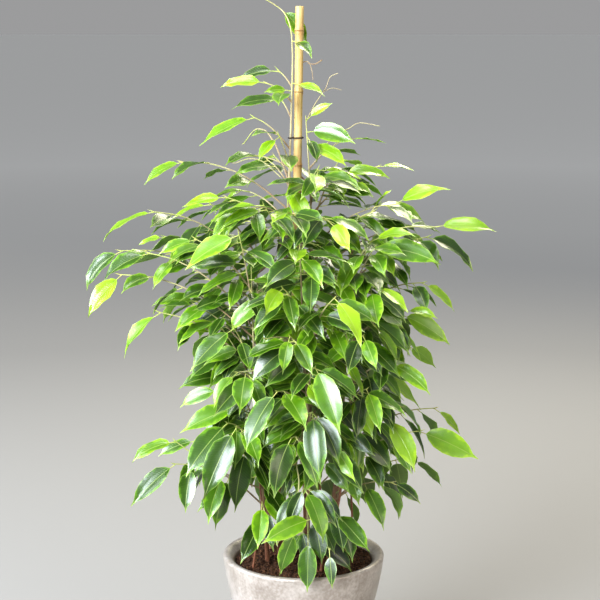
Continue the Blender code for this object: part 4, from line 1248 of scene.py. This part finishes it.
def soilLift(x, y):
    return sum(high * noise.noise(Vector((x * scale, y * scale, 3.7))) for scale, high in soil["lumps"])


def somewhere(rng, top, share):  # a random place on the soil, and how far it is from the middle
    radius = top * math.sqrt(rng.random()) * share
    angle = rng.uniform(0, math.tau)
    return radius * math.cos(angle), radius * math.sin(angle), radius


def makeSoil():
    top = pot["slopeRadius"] - soil["edgeGap"] - soil["edgeRoom"]
    low = plant["rim"] - soil["depth"]
    foot, side = soil["underEdge"]
    profile = [(soil["disc"], low), (top - foot, low), (top - side, soilHeight(top) - soil["side"])]
    radii = [top * (1 - k / soil["rings"]) for k in range(soil["rings"])]
    profile += [(radius, soilHeight(radius)) for radius in radii]
    peat = makeSoilMaterial()
    piece = turnPiece("potting_soil", profile, soil["sides"], peat)
    for vertex in piece.data.vertices:
        if vertex.co.z > soilHeight(top) - soil["lumpsFrom"]:
            vertex.co.z += soilLift(vertex.co.x, vertex.co.y)
    deselectAll()
    bpy.ops.mesh.primitive_ico_sphere_add(subdivisions=1, radius=1)
    crumb = bpy.context.object
    shape = np.array([v.co for v in crumb.data.vertices])
    shapeFaces = [tuple(p.vertices) for p in crumb.data.polygons]
    bpy.data.objects.remove(crumb)
    rng = random.Random(f"{plant['seed']} soil")
    verts, faces = [], []
    for k in range(soil["crumbs"]):
        x, y, radius = somewhere(rng, top, soil["crumbReach"])
        size = rng.uniform(*soil["crumbSize"]) * rng.random() ** 0.5
        squash = np.array([rng.uniform(*soil["squash"]) for axis in range(3)])
        most = soil["jitter"]
        jitter = np.array([[rng.uniform(-most, most) for axis in range(3)] for point in shape])
        centre = np.array((x, y, soilHeight(radius) + soilLift(x, y) + size * soil["raised"]))
        addPart(verts, faces, (centre + (shape + jitter) * squash * size).tolist(), shapeFaces)
    starts, ends = soil["fibreReach"]
    for k in range(soil["fibres"]):
        x, y = somewhere(rng, top, starts)[:2]
        heading = rng.uniform(0, math.tau)
        length = rng.uniform(*soil["fibreLength"]) / (soil["fibrePoints"] - 1)
        points = []
        for step in range(soil["fibrePoints"]):
            here = math.hypot(x, y)
            if here > top * ends:
                break
            points.append(Vector((x, y, soilHeight(here) + soilLift(x, y) + rng.uniform(*soil["fibreLift"]))))
            heading += rng.uniform(-soil["fibreTurn"], soil["fibreTurn"])
            x += length * math.cos(heading)
            y += length * math.sin(heading)
        if len(points) > 2:
            radii = [rng.uniform(*soil["fibreRadius"])] * len(points)
            addPart(verts, faces, *tube(points, radii, soil["fibreSides"]))
    crumbs = newPiece("soil_crumbs", verts, faces, [peat])
    smoothShade(crumbs, 40)
    smoothShade(piece, 60)
    return piece, crumbs


for piece in makeSoil():
    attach(piece, "root")
    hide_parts("soil")
print("soil made")


# Bamboo cane

cane = {
    "radius": 0.0062,
    "foot": Vector((-0.0195, 0.004, 0.085)),
    "tip": Vector((-0.0060, 0.004, 1.066)),
    "joints": (0.20, 0.35, 0.50, 0.61, 0.745, 0.855, 0.945),
    "ring": [  # along the cane and outwards
        (-0.030, 0.0), (-0.018, 0.0), (-0.010, 0.0001), (-0.004, 0.0004), (-0.0014, 0.0010),
        (-0.0003, 0.0004), (0.0008, 0.0012), (0.0026, 0.0007), (0.006, 0.0001), (0.018, 0.0),
    ],
    "stain": 0.8,  # how brown the skin is round a joint
    "disc": 0.5,  # of the radius: the disc that the turning starts from
    "bore": 0.0022,
    "boreDepth": 0.012,
    "boreTaper": 0.9,  # its end's radius, of the bore's
    "boreFrom": 0.5,  # how dark the painted shade in the bore and the joints' scars are
    "boreShadeAndScars": (0.9, 0.75),  # how dark the bore and the joints are
    "bevel": 0.0006,
    "sides": 28,
    "skin": [(0.25, "#94713C"), (0.42, "#BC9F62"), (0.6, "#D0BB80"), (0.8, "#D9C992")],
    "stainColour": "#A06A35",
    # one dark brown, for the joints' scars and for painted shade in the bore
    "scarAndBoreShadeColour": "#6A4C2C",
    "scarHeight": 0.0016,
    "stainHeight": 0.03,
    "leastStain": 0.25,
}


def makeBamboo():
    # Bamboo culm, dried: hard straw-coloured skin with long fibres, grey-brown scars at the joints, and
    # painted shade that darkens the bore at the cut top
    look, tree, shader = newMaterial("dried_bamboo", {"IOR": 1.5, "Specular IOR Level": 0.4})
    place = addNode(tree, "TexCoord", out="Object")
    stretch = addNode(tree, "Mapping", {"Scale": (900.0, 900.0, 18.0)}, {"Vector": place})
    fibres = addNode(tree, "TexNoise", {"Scale": 1.0, "Detail": 3.0}, {"Vector": stretch})
    longer = addNode(tree, "Mapping", {"Scale": (1.0, 1.0, 0.35)}, {"Vector": place})
    clouds = addNode(tree, "TexNoise", {"Scale": 75.0, "Detail": 4.0, "Roughness": 0.65}, {"Vector": longer})
    mixed = addNode(tree, "Math", {**timesPlus, 1: 0.5}, {0: fibres, 2: clouds})
    centred = addNode(tree, "Math", {"operation": "SUBTRACT", 1: 0.25}, {0: mixed})
    tint = addNode(tree, "ValToRGB", {"stops": cane["skin"]}, {"Fac": centred})
    scar = addNode(tree, "Attribute", {"attribute_name": "scar"}, out="Vector")
    scarAndBoreShadeShare, nearJoint = addNode(tree, "SeparateXYZ", links={0: scar}).node.outputs[:2]
    patchy = {"From Min": 0.42, "From Max": 0.6, "To Max": cane["stain"]}
    patchy = addNode(tree, "MapRange", patchy, {"Value": clouds})
    stain = addNode(tree, "Math", {"operation": "MULTIPLY"}, {0: patchy, 1: nearJoint})
    colour = addNode(tree, "Mix", {**rgba, 7: linear(cane["stainColour"])}, {0: stain, 6: tint}, out=2)
    # the joints' scars and the painted shade in the bore
    colour = addNode(tree, "Mix", {**rgba, 7: linear(cane["scarAndBoreShadeColour"])}, {0: scarAndBoreShadeShare, 6: colour}, out=2)
    rough = addNode(tree, "MapRange", {"To Min": 0.32, "To Max": 0.55}, {"Value": clouds})
    bump = addNode(tree, "Bump", {"Strength": 0.4, "Distance": 0.0002}, {"Height": fibres})
    feed(tree, shader, {"Base Color": colour, "Roughness": rough, "Normal": bump})
    return look


def makeCane():
    length = (cane["tip"] - cane["foot"]).length
    radius = cane["radius"]
    profile = [(radius * cane["disc"], 0.0), (radius, 0.0)]
    for joint in cane["joints"]:
        profile += [(radius + out, joint + up) for up, out in cane["ring"]]
    bevel = cane["bevel"]
    profile += [(radius, length - bevel), (radius - bevel, length), (cane["bore"], length)]
    profile += [(cane["bore"] * cane["boreTaper"], length - cane["boreDepth"])]
    piece = turnPiece("bamboo_cane", profile, cane["sides"], makeBamboo())
    boreShadeAndScars = []
    boreShade, jointScar = cane["boreShadeAndScars"]
    for vertex in piece.data.vertices:
        near = min(abs(vertex.co.z - joint) for joint in cane["joints"])
        # the bore's inside gets painted shade; near a joint, the scar's own dark colour
        inside = vertex.co.xy.length < cane["bore"] * 1.05 and vertex.co.z > cane["boreFrom"]
        scar = boreShade if inside else jointScar * max(0.0, 1 - near / cane["scarHeight"])
        boreShadeAndScars.append((scar, max(cane["leastStain"], 1 - near / cane["stainHeight"]), 0.0))
    pushAttribute(piece.data, "scar", boreShadeAndScars)
    piece.location = cane["foot"]
    piece.rotation_euler = (cane["tip"] - cane["foot"]).to_track_quat("Z", "Y").to_euler()
    bpy.ops.object.transform_apply(location=True, rotation=True, scale=True)
    smoothShade(piece, 45)
    return piece


canePiece = makeCane()
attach(canePiece, "root")
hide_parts("cane")
print("cane made")


# Tie: two strands twisted round each other, looped round the cane and the leader

tie = {
    "height": 0.872,
    "slack": 0.0009,
    "strand": 0.00065,  # radius
    "twist": 0.00062,  # how far each strand is from their shared middle
    "turns": 15,
    "steps": 120,
    "strandSides": 6,
    "arcSteps": (40, 20),  # round the cane and round the stem
    "paper": [(0.4, "#2B2119"), (0.6, "#45372A"), (0.75, "#6B5A45")],
}


def makeTieMaterial():
    # Paper-covered wire: dull dark brown, with pale worn spots
    look, tree, shader = newMaterial("paper_covered_wire", {"Roughness": 0.75})
    mottle(tree, shader, 700.0, 2.0, tie["paper"])
    return look


def makeTie():
    height = tie["height"]
    share = (height - cane["foot"].z) / (cane["tip"].z - cane["foot"].z)
    caneAt = cane["foot"].lerp(cane["tip"], share)
    stemAt, stemRadius = pointAtHeight(*bush["stem_leader"]["route"], height)
    caneLoop = cane["radius"] + tie["slack"]
    stemLoop = stemRadius + tie["slack"]
    across = Vector((stemAt.x - caneAt.x, stemAt.y - caneAt.y))
    facing = math.atan2(across.y, across.x)
    lean = math.acos((caneLoop - stemLoop) / across.length)
    loop = []
    caneSteps, stemSteps = tie["arcSteps"]
    arcs = (
        (caneAt, caneLoop, facing + lean, facing + math.tau - lean, caneSteps),
        (stemAt, stemLoop, facing - lean, facing + lean, stemSteps),
    )
    for centre, radius, first, last, steps in arcs:
        for step in range(steps + 1):
            angle = first + (last - first) * step / steps
            x, y = centre.x + radius * math.cos(angle), centre.y + radius * math.sin(angle)
            loop.append(Vector((x, y, height)))
    loop.append(loop[0] + (loop[0] - loop[-1]) * 0.01)  # closed, and a little beyond
    verts, faces = [], []
    for phase in (0.0, math.pi):
        strand = []
        for step in range(tie["steps"] + 1):
            point, run = along(loop, step / tie["steps"])
            turn = phase + math.tau * tie["turns"] * step / tie["steps"]
            out = Vector((run.y, -run.x, 0)) * math.cos(turn) + Vector((0, 0, 1)) * math.sin(turn)
            strand.append(point + Vector((run.y, -run.x, 0)) * tie["twist"] + out * tie["twist"])
        addPart(verts, faces, *tube(strand, [tie["strand"]] * len(strand), tie["strandSides"]))
    piece = newPiece("tie_wire", verts, faces, [makeTieMaterial()])
    smoothShade(piece, 50)
    return piece


tiePiece = makeTie()
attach(tiePiece, "root")
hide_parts("tie")
print("tie made")
